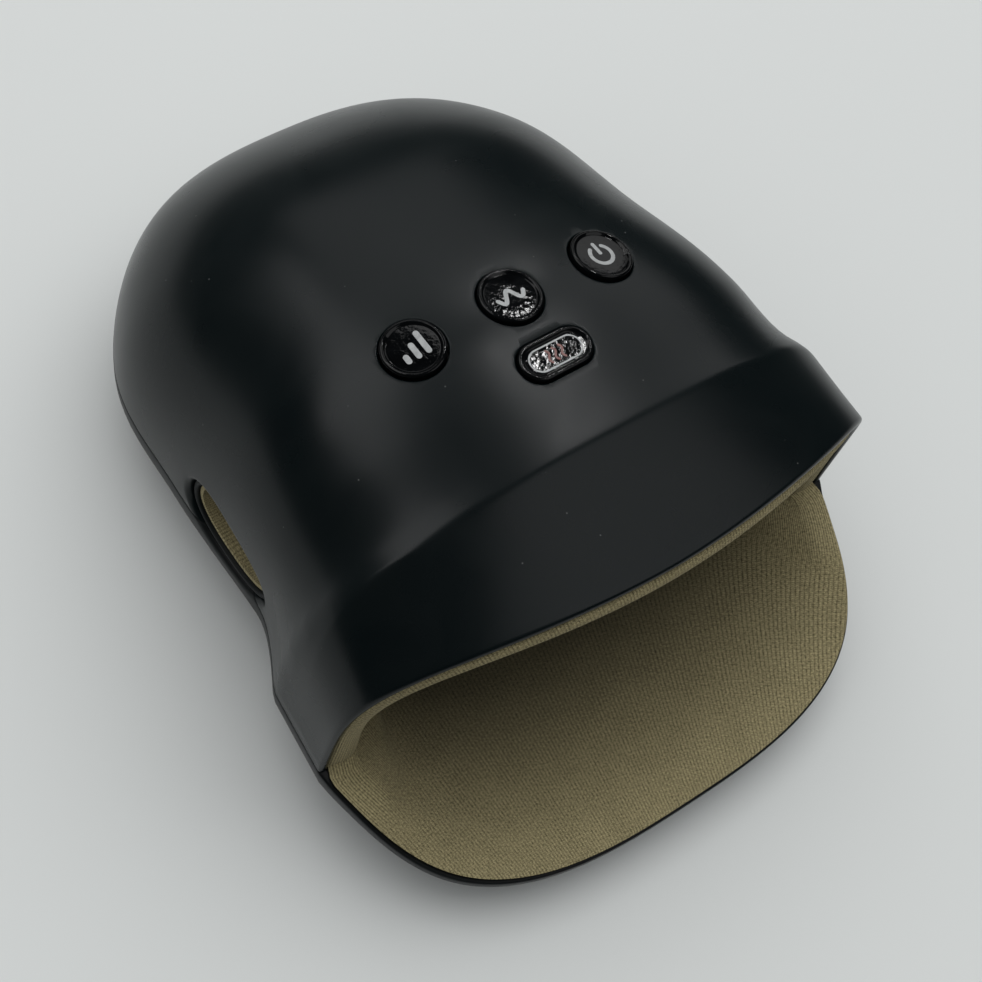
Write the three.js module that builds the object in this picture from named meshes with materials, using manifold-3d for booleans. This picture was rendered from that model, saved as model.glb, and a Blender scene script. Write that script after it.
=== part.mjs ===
// Cordless hand massager: a curved two-part housing with a fabric-lined hand cavity.
// Millimetres, +Z up, +Y towards the finger end, origin under the middle of the housing.
import * as THREE from 'three';
import { mergeVertices } from 'three/addons/utils/BufferGeometryUtils.js';
import Module from 'manifold-3d';

const wasm = await Module();
wasm.setup();

// General clearances
const fitGap = 0.3;
const runningGap = 0.06;
const screwGap = 0.15;
const overrun = 6;

// Outer form of the housing. Stations are measured from the mouth towards the finger end.
const coverLength = 158.5;
const tongueReach = 52.1;
const footHalfWidth = 82.2;
const flareHalfWidth = 79.9;
const waistHalfWidth = 70.7;
const middleHalfWidth = 72.5;
const shoulderHalfWidth = 78.1;
const widthStationShares = [0.149, 0.295, 0.533, 0.767, 1];
const flareSwell = -1.2;
const waistSwell = 10.1;
const middleSwell = 4.6;
const shoulderSwell = -0.5;
const rimHeight = 55.6;
const creaseHeight = 68.6;
const gripHeight = 69.5;
const backHeight = 67.6;
const fingerHeight = 68.9;
const heightStationShares = [0, 0.17, 0.365, 0.579, 0.761, 1];
const seamFrontHeight = 29.6;
const seamRearHeight = 26.9;
const mouthBow = 13.5;
const bowStationShare = 0.6;
const bowPower = 1.5;
const creaseTopStation = 27.0;
const creaseSideStation = 10.7;
const creasePower = 0.7;
const sectionStationShares = [0, 0.187, 0.533, 1];
const sectionWidthPowers = [3.74, 2.42, 2.77, 2.56];
const sectionHeightPowers = [4.53, 3.86, 2.14, 2.6];
const closingStationShare = 0.33;
const planPower = 2.48;
const backPower = 2.0;
const coverWall = 2.4;

// Base shell
const baseWall = 2.4;
const baseUnderside = 2.0;
const seamGap = 0.35;
const tongueTipHeight = 17.5;
const tonguePower = 2.87;
const tongueTuck = 5.1;
const tongueTuckShare = 0.66;
const tongueLedge = 1.5;
const tongueLapShare = 0.12;
const clothLapInset = 0.95;
const baseCentreStation = 52.0;
const baseWidthShare = 0.62;
const baseLengthShare = 0.92;

// Thumb holes, one in each side, with their clamping rings and cloth ports
const thumbStation = 60.3;
const thumbHeight = 37.3;
const thumbHalfLength = 17.9;
const thumbHalfHeight = 10.35;
const thumbPower = 2.4;
const thumbRingWall = 1.6;
const thumbRingSetback = 0.7;
const thumbRingDepth = 11.9;
const thumbFlangeWidth = 3.0;
const thumbFlangeThickness = 1.4;
const thumbFlangeSetback = 3.8;
const thumbPortSetback = 1.0;
const thumbPortOverlap = 14.0;

// Cloth sleeve that lines the mouth and the hand cavity
const clothThickness = 1.2;
const cavityHalfWidth = 54.0;
const cavityMiddleHeight = 30.0;
const cavityRoofHeight = 47.0;
const cavityFloorHeight = 17.0;
const cavityStartStation = 46.0;
const cavityEndSetback = 24.5;
const cavityClosingLength = 34.0;
const cavityWidthPower = 3.2;
const cavityHeightPower = 2.4;
const cavityClosingPower = 2.4;
const clothMouthStation = 1.0;
const clothRoll = 2.2;
const clothRollShare = 0.12;
const clothDish = 4.5;
const funnelPower = 1.8;
const tongueInPower = 1.25;
const tongueDownPower = 2.4;
const tongueBackPower = 1.1;

// Mouth frames that clamp the hem of the cloth
const frameThickness = 1.3;
const frameStart = 3.6;
const frameEnd = 9.0;
const lowerFrameGap = 0.8;
const lowerFrameDipShares = [0.14, 0.5];

// Push buttons
const buttonHoleRadius = 8.34;
const capRadius = 7.95;
const capRise = 1.2;
const capDish = 0.6;
const capRimWidth = 1.7;
const capRimWidthShares = [0.2, 0.5, 0.85];
const capRimHeightShares = [0.9, 1, 0.85];
const capSkirt = 4.3;
const capFlangeWidth = 1.0;
const capFlangeThickness = 1.0;
const capStemRadius = 1.6;
const capTravel = 0.6;
const capStemClearance = 0.05;
const sideButtonStation = 62.4;
const sideButtonTurn = 1.3154;
const modeButtonStation = 62.9;
const heatButtonStation = 46.9;
const heatHoleHalfLength = 10.4;
const heatHoleHalfWidth = 5.6;
const heatCapGap = 0.38;

// Button board and its switches
const buttonBoardTop = 84.8;
const boardThickness = 1.6;
const buttonBoardHalfWidth = 38.0;
const buttonBoardStart = 28.2;
const buttonBoardEnd = 73.0;
const switchHalfSize = 3.0;
const switchBodyHeight = 2.6;
const switchPlungerRadius = 1.7;
const switchPlungerHeight = 0.9;
const boardPostRadius = 2.6;
const boardPostSideOffset = 16.5;
const boardPostSideStation = 69.0;
const boardPostFrontStation = 31.6;

// Trays that carry the works and the air bags
const upperTrayBottom = 56.1;
const trayThickness = 2.0;
const upperTrayHalfWidth = 57.2;
const upperTrayStart = 14.0;
const upperTrayEndSetback = 30.5;
const upperTrayTaperLength = 23.0;
const upperTrayEndHalfWidth = 42.0;
const trayPostRadius = 2.6;
const trayPostInset = 2.8;
const trayPostFrontSetback = 20.0;
const trayPostRearSetback = 11.0;
const lowerTrayBottom = 7.4;
const lowerTrayHalfWidth = 50.0;
const lowerTrayMargin = 2.0;
const trayCornerRadius = 6.0;
const lowerPostRadius = 3.2;
const lowerPinRadius = 1.4;
const lowerPostInset = 10.0;
const lowerPostSetback = 9.0;

// Air bags and heating film
const bagHalfWidth = 44.0;
const bagStartSetback = 6.0;
const bagEndSetback = 12.0;
const bagCorner = 10.0;
const bagEdge = 2.4;
const bagHemWidth = 4.0;
const bagHemThickness = 0.8;
const bagPortRadius = 2.0;
const upperBagThickness = 6.8;
const lowerBagThickness = 6.2;
const upperBagPortX = -23.0;
const upperBagPortStation = 56.0;
const upperBagPortHeight = 62.0;
const lowerBagPortSetback = 32.0;
const lowerBagPortReach = 6.6;
const filmThickness = 0.6;
const filmHalfWidth = 38.0;
const filmInset = 2.0;

// Battery cells and their cradle
const cellRadius = 9.2;
const cellLength = 65.0;
const cellSideGap = 8.0;
const cellStart = 22.0;
const cellTerminalRadius = 3.2;
const cellTerminalHeight = 1.2;
const cellFloorGap = 1.2;
const cradleWall = 1.4;
const cradleRibThickness = 3.0;
const cradleRibHeight = 8.0;
const cradleStationShares = [0.12, 0.42, 0.86];
const clampThickness = 1.2;
const clampWidth = 9.0;
const clampStationShare = 0.64;

// Air pump
const pumpBoardGap = 4.3;
const pumpRadius = 13.2;
const pumpFloorGap = 1.0;
const pumpHalfLength = 28.4;
const motorRadius = 12.2;
const motorLength = 30.8;
const headBoreRadius = 9.0;
const headBoreDepth = 17.0;
const shaftRadius = 1.0;
const shaftInMotor = 9.0;
const eccentricRadius = 4.5;
const eccentricOffset = 1.0;
const eccentricThickness = 5.0;
const eccentricSetback = 4.0;
const pumpNozzleRadius = 1.9;
const pumpNozzleLength = 4.0;
const pumpNozzleX = 15.0;
const saddleThickness = 3.0;
const saddleHalfWidth = 11.0;
const saddleHeight = 5.0;
const saddlePlaceShares = [-0.82, -0.3, 0.5];

// Solenoid valves and manifold
const valveOffset = 12.0;
const valveStation = 30.0;
const valveHalfWidth = 6.5;
const valveHeight = 12.0;
const valveLength = 17.0;
const valveBoreRadius = 2.6;
const plungerLength = 15.0;
const plungerProud = 3.2;
const plungerTravel = 1.0;
const plungerCollarRadius = 3.6;
const plungerCollarThickness = 1.0;
const manifoldLength = 9.0;
const manifoldHalfWidth = 17.0;
const manifoldHeight = 8.0;
const hoseRadius = 2.2;
const hoseRouteHeight = 61.2;
const hoseSideGap = 0.5;
const hoseFrontStation = 17.6;
const hoseLeadShare = 0.25;
const hoseDropShare = 1.4;

// Main board
const mainBoardHalfWidth = 30.0;
const mainBoardLength = 22.0;
const mainBoardEndInset = 2.0;
const standoffHeight = 2.6;
const standoffRadius = 2.4;
const standoffInset = 3.4;
const chipSize = 9.0;
const chipHeight = 1.4;
const capacitorRadius = 4.0;
const capacitorHeight = 9.0;
const connectorLength = 10.0;
const connectorWidth = 4.6;
const connectorHeight = 5.0;
const capacitorPlaceShares = [-0.45, 0.45];
const connectorPlaceShares = [-0.6, 0, 0.6];

// Charging socket at the finger end
const jackHeight = 36.0;
const jackHalfWidth = 4.5;
const jackHalfHeight = 1.65;
const jackLength = 8.0;
const jackShell = 0.5;
const jackSetback = 1.6;
const jackBoardHalfWidth = 9.0;
const jackBoardLength = 12.0;
const jackBoardThickness = 1.2;
const jackShelfDepth = 15.0;
const jackShelfThickness = 2.0;

// Screws and their bosses
const caseScrewFrontInset = 7.2;
const caseScrewFrontStation = 20.0;
const caseScrewMiddleInset = 9.8;
const caseScrewMiddleSetback = 56.5;
const caseScrewRearX = 28.0;
const caseScrewRearSetback = 12.5;
const bossRadius = 3.5;
const postRadius = 4.6;
const caseShankRadius = 1.5;
const caseHeadRadius = 2.8;
const caseHeadHeight = 2.0;
const caseShankLength = 15.0;
const postWebThickness = 2.4;
const smallShankRadius = 1.25;
const smallHeadRadius = 2.3;
const smallHeadHeight = 1.6;
const smallShankLength = 7.0;
const headTopShare = 0.8;
const headEdgeShare = 0.6;
const boreDepth = 13.0;

// Rubber feet
const padRadius = 6.0;
const padThickness = 2.6;
const padRecess = 0.9;
const padOffset = 38.0;
const padFrontStation = -14.0;
const padRearSetback = 40.5;

// Resolution of the faceted surfaces
const archSteps = 26;
const visorRows = 3;
const bodyRows = 11;
const tongueSteps = 18;
const bowlLevels = 4;
const roundSteps = 18;
const smallSteps = 8;
const sleeveArchSteps = 16;
const sleeveTongueSteps = 16;
const curveSegments = 6;
const sleevePathShares = [0, 0.05, 0.13, 0.25, 0.42, 0.62, 0.82, 1];
const sleeveStationShares = [0.27, 0.55, 0.75, 0.88, 0.96];

// Places that follow from the sizes above
const thumbRingOuterFace = waistHalfWidth - thumbRingSetback;
const thumbRingInnerFace = thumbRingOuterFace - thumbRingDepth;
const thumbFlangeFace = thumbRingOuterFace - thumbFlangeSetback;
const thumbPortFace = thumbRingOuterFace - thumbPortSetback;
const thumbPortInnerFace = cavityHalfWidth - thumbPortOverlap;
const cavityEndStation = coverLength - cavityEndSetback;
const cavityClosingStation = cavityEndStation - cavityClosingLength;
const upperTrayEnd = coverLength - upperTrayEndSetback;
const upperTrayShoulder = upperTrayEnd - upperTrayTaperLength;
const trayPostOffset = upperTrayHalfWidth - trayPostInset;
const trayPostFrontStation = upperTrayStart + trayPostFrontSetback;
const trayPostRearStation = upperTrayShoulder - trayPostRearSetback;
const bagStart = cavityStartStation + bagStartSetback;
const bagEnd = cavityEndStation - bagEndSetback;
const filmStart = bagStart + filmInset;
const filmEnd = bagEnd - bagHemWidth;
const lowerTrayStart = bagStart - bagHemWidth;
const lowerTrayEnd = bagEnd + lowerTrayMargin;
const lowerPostOffset = lowerTrayHalfWidth - lowerPostInset;
const lowerPostFrontStation = lowerTrayStart + lowerPostSetback;
const lowerPostRearStation = lowerTrayEnd - lowerPostSetback;
const lowerBagPortStation = bagEnd - lowerBagPortSetback;
const lowerBagPortX = bagHalfWidth + bagHemWidth + lowerBagPortReach;
const cellOffset = upperTrayHalfWidth - cellSideGap - cellRadius;
const mainBoardEnd = upperTrayEnd - mainBoardEndInset;
const mainBoardStart = mainBoardEnd - mainBoardLength;
const pumpStation = mainBoardStart - pumpBoardGap - pumpRadius;
const hoseSideOffset = upperTrayHalfWidth + hoseSideGap + hoseRadius;
const caseScrewFrontX = flareHalfWidth - caseScrewFrontInset;
const caseScrewMiddleX = middleHalfWidth - caseScrewMiddleInset;
const caseScrewMiddleStation = coverLength - caseScrewMiddleSetback;
const caseScrewRearStation = coverLength - caseScrewRearSetback;
const padRearStation = coverLength - padRearSetback;

// Station of the mouth plane on the Y axis, so that the housing is centred
const mouthY = (tongueReach - coverLength) / 2;

const clamp = (value, low, high) => Math.min(Math.max(value, low), high);

const atStation = (station) => mouthY + station;

// Monotone cubic curve through a table, flat beyond its ends
function tableCurve(places, values) {
  const last = places.length - 1;
  const steps = places.slice(1).map((place, i) => place - places[i]);
  const slopes = steps.map((step, i) => (values[i + 1] - values[i]) / step);
  const edgeSlope = (h0, h1, d0, d1) => {
    const slope = ((2 * h0 + h1) * d0 - h0 * d1) / (h0 + h1);
    if (slope * d0 <= 0) return 0;
    return d0 * d1 <= 0 && Math.abs(slope) > 3 * Math.abs(d0) ? 3 * d0 : slope;
  };
  const tangents = places.map((_, i) => {
    if (i === 0) return edgeSlope(steps[0], steps[1], slopes[0], slopes[1]);
    if (i === last) {
      return edgeSlope(steps[last - 1], steps[last - 2], slopes[last - 1], slopes[last - 2]);
    }
    if (slopes[i - 1] * slopes[i] <= 0) return 0;
    const before = 2 * steps[i] + steps[i - 1];
    const after = steps[i] + 2 * steps[i - 1];
    return (before + after) / (before / slopes[i - 1] + after / slopes[i]);
  });
  return (place) => {
    const x = clamp(place, places[0], places[last]);
    let i = 0;
    while (i < last - 1 && x > places[i + 1]) i += 1;
    const t = (x - places[i]) / steps[i];
    const rise = values[i + 1] - values[i];
    const a = tangents[i] * steps[i];
    const b = tangents[i + 1] * steps[i];
    return values[i] + t * (a + t * (3 * rise - 2 * a - b + t * (a + b - 2 * rise)));
  };
}

const stationsOf = (shares) => shares.map((share) => share * coverLength);

const flaredWidth = tableCurve(
  stationsOf(widthStationShares),
  [flareHalfWidth, waistHalfWidth, middleHalfWidth, shoulderHalfWidth, shoulderHalfWidth],
);
// Width that each side gains between the seam and the top of the section
const swellAt = tableCurve(
  stationsOf([0, ...widthStationShares]),
  [0, flareSwell, waistSwell, middleSwell, shoulderSwell, shoulderSwell],
);
const plateauHeight = tableCurve(
  stationsOf(heightStationShares),
  [creaseHeight, creaseHeight, gripHeight, backHeight, fingerHeight, fingerHeight],
);
const widthPower = tableCurve(stationsOf(sectionStationShares), sectionWidthPowers);
const heightPower = tableCurve(stationsOf(sectionStationShares), sectionHeightPowers);

function halfWidthAt(station) {
  const flareStation = widthStationShares[0] * coverLength;
  if (station >= flareStation) return flaredWidth(station);
  return footHalfWidth + (flareHalfWidth - footHalfWidth) * Math.max(station, 0) / flareStation;
}

const seamHeightAt = (station) =>
  seamFrontHeight + (seamRearHeight - seamFrontHeight) * clamp(station / coverLength, 0, 1);

const creaseStationAt = (turn) =>
  creaseSideStation + (creaseTopStation - creaseSideStation) * Math.abs(Math.sin(turn)) ** creasePower;

function heightAt(station, turn) {
  const crease = creaseStationAt(turn);
  if (station >= crease) return plateauHeight(station);
  const top = plateauHeight(crease);
  return top - (top - rimHeight) * (1 - station / crease);
}

// Point of the outer skin, moved inwards by inset; turn runs 0 to PI from the left seam over the top
function skinPoint(station, turn, inset = 0) {
  const end = coverLength - inset;
  const start = closingStationShare * coverLength;
  const t = clamp((station - start) / (end - start), 0, 1);
  const height = (heightAt(station, turn) - inset) * (1 - t ** backPower) ** (1 / backPower);
  const c = Math.cos(turn);
  const out = Math.abs(c) ** (2 / widthPower(station));
  const lift = Math.abs(Math.sin(turn)) ** (2 / heightPower(station));
  const spread = halfWidthAt(station) + swellAt(station) * lift - inset;
  const halfWidth = spread * (1 - t ** planPower) ** (1 / planPower);
  const bow = mouthBow * clamp(1 - station / (bowStationShare * coverLength), 0, 1) ** bowPower;
  return new THREE.Vector3(
    -Math.sign(c) * halfWidth * out,
    atStation(station - bow * (1 - out * out)),
    seamHeightAt(station) + height * lift,
  );
}

// Outward normal of the skin
function skinNormal(station, turn) {
  const stationStep = creaseSideStation / 100;
  const turnStep = 0.002;
  const along = skinPoint(station + stationStep, turn).sub(skinPoint(station - stationStep, turn));
  const across = skinPoint(station, turn + turnStep).sub(skinPoint(station, turn - turnStep));
  return across.cross(along).normalize();
}

// Turns spaced evenly along the arch of a middle section
function archTurns(count) {
  const fine = 600;
  const lengths = [0];
  for (let i = 1; i <= fine; i += 1) {
    const a = skinPoint(thumbStation, (Math.PI * (i - 1)) / fine);
    const b = skinPoint(thumbStation, (Math.PI * i) / fine);
    lengths.push(lengths[i - 1] + a.distanceTo(b));
  }
  const turns = [];
  let i = 0;
  for (let k = 0; k <= count / 2; k += 1) {
    const goal = (lengths[fine] * k) / count;
    while (i < fine && lengths[i + 1] < goal) i += 1;
    const span = lengths[i + 1] - lengths[i];
    turns.push((Math.PI * (i + (goal - lengths[i]) / span)) / fine);
  }
  const mirrored = turns.slice(0, -1).reverse().map((turn) => Math.PI - turn);
  return [...turns, ...mirrored];
}

// Stations of the mesh rows at one turn; one row follows the crease
function rowStations(turn, inset) {
  const crease = creaseStationAt(turn);
  const stations = [];
  for (let i = 0; i < visorRows; i += 1) stations.push((crease * i) / visorRows);
  for (let i = 0; i < bodyRows; i += 1) {
    stations.push(crease + (coverLength - inset - crease) * Math.sin((Math.PI * i) / (2 * bodyRows)));
  }
  return stations;
}

// Closed geometry from rings of points, closed at each end by a pole or by a fan
function loftGeometry(rings, firstPole, lastPole) {
  const count = rings[0].length;
  const points = rings.flat();
  const faces = [];
  for (let r = 0; r + 1 < rings.length; r += 1) {
    for (let i = 0; i < count; i += 1) {
      const a = r * count + i;
      const b = r * count + ((i + 1) % count);
      faces.push(a, b, b + count, a, b + count, a + count);
    }
  }
  const closeEnd = (base, pole, forward) => {
    const tip = points.length;
    points.push(pole);
    for (let i = 0; i < count; i += 1) {
      const a = base + i;
      const b = base + ((i + 1) % count);
      faces.push(...(forward ? [a, b, tip] : [b, a, tip]));
    }
  };
  closeEnd(0, firstPole, false);
  closeEnd((rings.length - 1) * count, lastPole, true);
  return facetedGeometry(points, faces);
}

// Geometry of a closed surface, turned so that its faces point out
function facetedGeometry(points, faces) {
  let volume = 0;
  for (let i = 0; i < faces.length; i += 3) {
    const [a, b, c] = [points[faces[i]], points[faces[i + 1]], points[faces[i + 2]]];
    volume += a.dot(new THREE.Vector3().crossVectors(b, c));
  }
  const places = points.flatMap((p) => [p.x, p.y, p.z]);
  const geometry = new THREE.BufferGeometry();
  geometry.setAttribute('position', new THREE.Float32BufferAttribute(places, 3));
  geometry.setIndex(volume > 0 ? faces : faces.slice().reverse());
  return geometry;
}

// Vertices joined and empty triangles dropped
function joined(geometry) {
  const bare = geometry.clone();
  bare.deleteAttribute('normal');
  bare.deleteAttribute('uv');
  const merged = mergeVertices(bare);
  const index = merged.index.array;
  const kept = [];
  for (let i = 0; i < index.length; i += 3) {
    const [a, b, c] = [index[i], index[i + 1], index[i + 2]];
    if (a !== b && b !== c && c !== a) kept.push(a, b, c);
  }
  merged.setIndex(kept);
  return merged;
}

function solidOf(geometry) {
  const merged = joined(geometry);
  return new wasm.Manifold(new wasm.Mesh({
    numProp: 3,
    vertProperties: Float32Array.from(merged.attributes.position.array),
    triVerts: Uint32Array.from(merged.index.array),
  }));
}

function geometryOf(solid) {
  const mesh = solid.getMesh();
  const places = Float32Array.from(mesh.vertProperties);
  const geometry = new THREE.BufferGeometry();
  geometry.setAttribute('position', new THREE.BufferAttribute(places, 3));
  geometry.setIndex(new THREE.BufferAttribute(Uint32Array.from(mesh.triVerts), 1));
  return geometry;
}

const addAll = (solid, others) => others.reduce((sum, other) => sum.add(other), solid);

const cutAll = (solid, others) => others.reduce((rest, other) => rest.subtract(other), solid);

// Round bar along Z from bottom to top
function barGeometry(x, y, bottom, top, radius, steps = roundSteps) {
  const bar = new THREE.CylinderGeometry(radius, radius, top - bottom, steps);
  bar.rotateX(Math.PI / 2);
  bar.translate(x, y, (top + bottom) / 2);
  return bar;
}

// Block between two corners
function blockGeometry(x0, x1, y0, y1, z0, z1) {
  const block = new THREE.BoxGeometry(x1 - x0, y1 - y0, z1 - z0);
  block.translate((x0 + x1) / 2, (y0 + y1) / 2, (z0 + z1) / 2);
  return block;
}

const bar = (...sizes) => solidOf(barGeometry(...sizes));

const block = (...sizes) => solidOf(blockGeometry(...sizes));

// Turned body about the Z axis from radius and height pairs
function turnedGeometry(pairs, steps = roundSteps) {
  const profile = pairs.map(([r, z]) => new THREE.Vector2(r, z));
  return new THREE.LatheGeometry(profile, steps).rotateX(Math.PI / 2);
}

// Flat outline pushed up from bottom to top, with holes as round or closed outlines
function plateGeometry(shape, bottom, top) {
  const settings = { depth: top - bottom, bevelEnabled: false, curveSegments };
  const plate = new THREE.ExtrudeGeometry(shape, settings);
  plate.translate(0, 0, bottom);
  return plate;
}

function roundedOutline(halfWidth, start, end, corner) {
  const shape = new THREE.Shape();
  const [y0, y1] = [atStation(start), atStation(end)];
  shape.moveTo(-halfWidth + corner, y0);
  shape.lineTo(halfWidth - corner, y0);
  shape.quadraticCurveTo(halfWidth, y0, halfWidth, y0 + corner);
  shape.lineTo(halfWidth, y1 - corner);
  shape.quadraticCurveTo(halfWidth, y1, halfWidth - corner, y1);
  shape.lineTo(-halfWidth + corner, y1);
  shape.quadraticCurveTo(-halfWidth, y1, -halfWidth, y1 - corner);
  shape.lineTo(-halfWidth, y0 + corner);
  shape.quadraticCurveTo(-halfWidth, y0, -halfWidth + corner, y0);
  return shape;
}

// Solid inside the skin at an inset, reaching forward and below by the given lengths
function skinSolid(inset, forward, below) {
  const turns = archTurns(archSteps);
  const columns = turns.map((turn) => rowStations(turn, inset));
  const rings = columns[0].map((_, row) => {
    const arch = turns.map((turn, i) => skinPoint(columns[i][row], turn, inset));
    if (below === 0) return arch;
    const [left, right] = [arch[0], arch[arch.length - 1]];
    const lowered = (point) => point.clone().setZ(point.z - below);
    return [lowered(left), ...arch, lowered(right)];
  });
  if (forward > 0) rings.unshift(rings[0].map((point) => point.clone().setY(point.y - forward)));
  const frontPole = rings[0][0].clone().setX(0);
  const rear = coverLength - inset;
  const rearPole = new THREE.Vector3(0, atStation(rear), seamHeightAt(rear));
  if (below === 0) return solidOf(loftGeometry(rings, frontPole, rearPole));
  const lastRing = rings[rings.length - 1];
  const rearEdge = lastRing.map((point, i) => {
    const low = i === 0 || i === lastRing.length - 1;
    return new THREE.Vector3(0, rearPole.y, low ? rearPole.z - below : rearPole.z);
  });
  rings.push(rearEdge);
  return solidOf(loftGeometry(rings, frontPole, rearEdge[0].clone().lerp(rearPole, 0.5)));
}

// Oval about the thumb hole, widened by a margin and pushed along X between two places
function thumbOval(margin, x0, x1) {
  const shape = new THREE.Shape();
  for (let i = 0; i < roundSteps; i += 1) {
    const angle = (2 * Math.PI * i) / roundSteps;
    const [c, s] = [Math.cos(angle), Math.sin(angle)];
    const y = Math.sign(c) * (thumbHalfLength + margin) * Math.abs(c) ** (2 / thumbPower);
    const z = Math.sign(s) * (thumbHalfHeight + margin) * Math.abs(s) ** (2 / thumbPower);
    if (i === 0) shape.moveTo(y, z);
    else shape.lineTo(y, z);
  }
  const oval = new THREE.ExtrudeGeometry(shape, { depth: Math.abs(x1 - x0), bevelEnabled: false });
  oval.rotateX(Math.PI / 2);
  oval.rotateZ(Math.PI / 2);
  oval.translate(Math.min(x0, x1), atStation(thumbStation), thumbHeight);
  return solidOf(oval);
}

// Frame of a button: its centre on the skin and the turn that lays its Z axis along the skin's normal
function buttonFrame(station, turn) {
  const centre = skinPoint(station, turn);
  const normal = skinNormal(station, turn);
  const side = new THREE.Vector3(0, 1, 0).cross(normal).normalize();
  const ahead = new THREE.Vector3().crossVectors(normal, side);
  const basis = new THREE.Matrix4().makeBasis(side, ahead, normal);
  return { centre, normal, quaternion: new THREE.Quaternion().setFromRotationMatrix(basis) };
}

const buttons = {
  level: buttonFrame(sideButtonStation, sideButtonTurn),
  mode: buttonFrame(modeButtonStation, Math.PI / 2),
  power: buttonFrame(sideButtonStation, Math.PI - sideButtonTurn),
  heat: buttonFrame(heatButtonStation, Math.PI / 2),
};

const switchTop = buttonBoardTop + switchBodyHeight + switchPlungerHeight;

// Length from the skin to the top of a button's switch, along the skin's normal
const switchReach = ({ centre, normal }) => (centre.z - switchTop) / normal.z;

// Drop of the low edge of a leaning stem's foot below its middle
const footDrop = ({ normal }) => capStemRadius * Math.hypot(normal.x, normal.y);

// Length from the skin down to the foot of a button's stem, which clears its switch when pressed
const stemReach = (button) =>
  switchReach(button) - capTravel - capStemClearance - footDrop(button);

// Point where a button's stem meets its switch
const switchSpot = (button) => button.centre.clone().addScaledVector(button.normal, -switchReach(button));

function stadiumOutline(halfLength, halfWidth) {
  const shape = new THREE.Shape();
  const straight = halfLength - halfWidth;
  shape.absarc(straight, 0, halfWidth, -Math.PI / 2, Math.PI / 2, false);
  shape.absarc(-straight, 0, halfWidth, Math.PI / 2, -Math.PI / 2, false);
  shape.closePath();
  return shape;
}

function heatSlab(halfLength, halfWidth, bottom, top) {
  return solidOf(plateGeometry(stadiumOutline(halfLength, halfWidth), bottom, top));
}

// Solid in a button's own frame moved to its place on the skin
function placedSolid(solid, { centre, quaternion }) {
  const geometry = geometryOf(solid);
  geometry.applyQuaternion(quaternion);
  geometry.translate(centre.x, centre.y, centre.z);
  return solidOf(geometry);
}

const caseScrews = [
  ['front_left', -caseScrewFrontX, caseScrewFrontStation],
  ['front_right', caseScrewFrontX, caseScrewFrontStation],
  ['middle_left', -caseScrewMiddleX, caseScrewMiddleStation],
  ['middle_right', caseScrewMiddleX, caseScrewMiddleStation],
  ['rear_left', -caseScrewRearX, caseScrewRearStation],
  ['rear_right', caseScrewRearX, caseScrewRearStation],
].map(([name, x, station]) => {
  const seam = seamHeightAt(station);
  const headTop = seam - seamGap - postWebThickness - fitGap;
  return { name, x, y: atStation(station), seam, headTop };
});

const trayPosts = [
  ['front_left', -trayPostOffset, trayPostFrontStation],
  ['front_right', trayPostOffset, trayPostFrontStation],
  ['rear_left', -trayPostOffset, trayPostRearStation],
  ['rear_right', trayPostOffset, trayPostRearStation],
].map(([name, x, station]) => ({ name, x, y: atStation(station) }));

const boardPosts = [
  ['left', -boardPostSideOffset, boardPostSideStation],
  ['right', boardPostSideOffset, boardPostSideStation],
  ['front', 0, boardPostFrontStation],
].map(([name, x, station]) => ({ name, x, y: atStation(station) }));

const upperTrayTop = upperTrayBottom + trayThickness;
const ceiling = seamFrontHeight + gripHeight + overrun;

function topCover() {
  const outer = skinSolid(0, 0, 0);
  const core = skinSolid(coverWall / 2, 0, 0);
  const posts = [
    ...caseScrews.map(({ x, y, seam }) => bar(x, y, seam + seamGap, ceiling, bossRadius, smallSteps)),
    ...trayPosts.map(({ x, y }) => bar(x, y, upperTrayTop + fitGap, ceiling, trayPostRadius, smallSteps)),
    ...boardPosts.map(({ x, y }) => bar(x, y, buttonBoardTop + fitGap, ceiling,
      boardPostRadius, smallSteps)),
  ];
  const shelf = block(
    -jackBoardHalfWidth, jackBoardHalfWidth,
    atStation(coverLength - jackShelfDepth), atStation(coverLength),
    jackShelfTop - jackShelfThickness, jackShelfTop,
  );
  const hollow = outer.subtract(skinSolid(coverWall, overrun, overrun));
  const filled = addAll(hollow, [...posts, shelf].map((post) => post.intersect(core)));
  const holes = [
    ...caseScrews.map(({ x, y, seam }) => bar(x, y, seam - overrun, seam + boreDepth + seamGap,
      caseShankRadius + screwGap, smallSteps)),
    ...trayPosts.map(({ x, y }) => bar(x, y, upperTrayTop - overrun, upperTrayTop + boreDepth,
      smallShankRadius + screwGap, smallSteps)),
    ...boardPosts.map(({ x, y }) => bar(x, y, buttonBoardTop - overrun,
      buttonBoardTop + smallShankLength - boardThickness, smallShankRadius + screwGap, smallSteps)),
    ...[buttons.level, buttons.mode, buttons.power].map((button) =>
      placedSolid(bar(0, 0, -overrun, overrun, buttonHoleRadius), button)),
    placedSolid(heatSlab(heatHoleHalfLength, heatHoleHalfWidth, -overrun, overrun), buttons.heat),
    thumbOval(0, waistHalfWidth - overrun, waistHalfWidth + overrun),
    thumbOval(0, -waistHalfWidth - overrun, -waistHalfWidth + overrun),
    jackBlock(fitGap, coverLength - jackSetback - jackLength, coverLength + overrun),
  ];
  return geometryOf(cutAll(filled, holes));
}

const jackShelfTop = jackHeight - jackHalfHeight - jackBoardThickness - 2 * fitGap;

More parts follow.
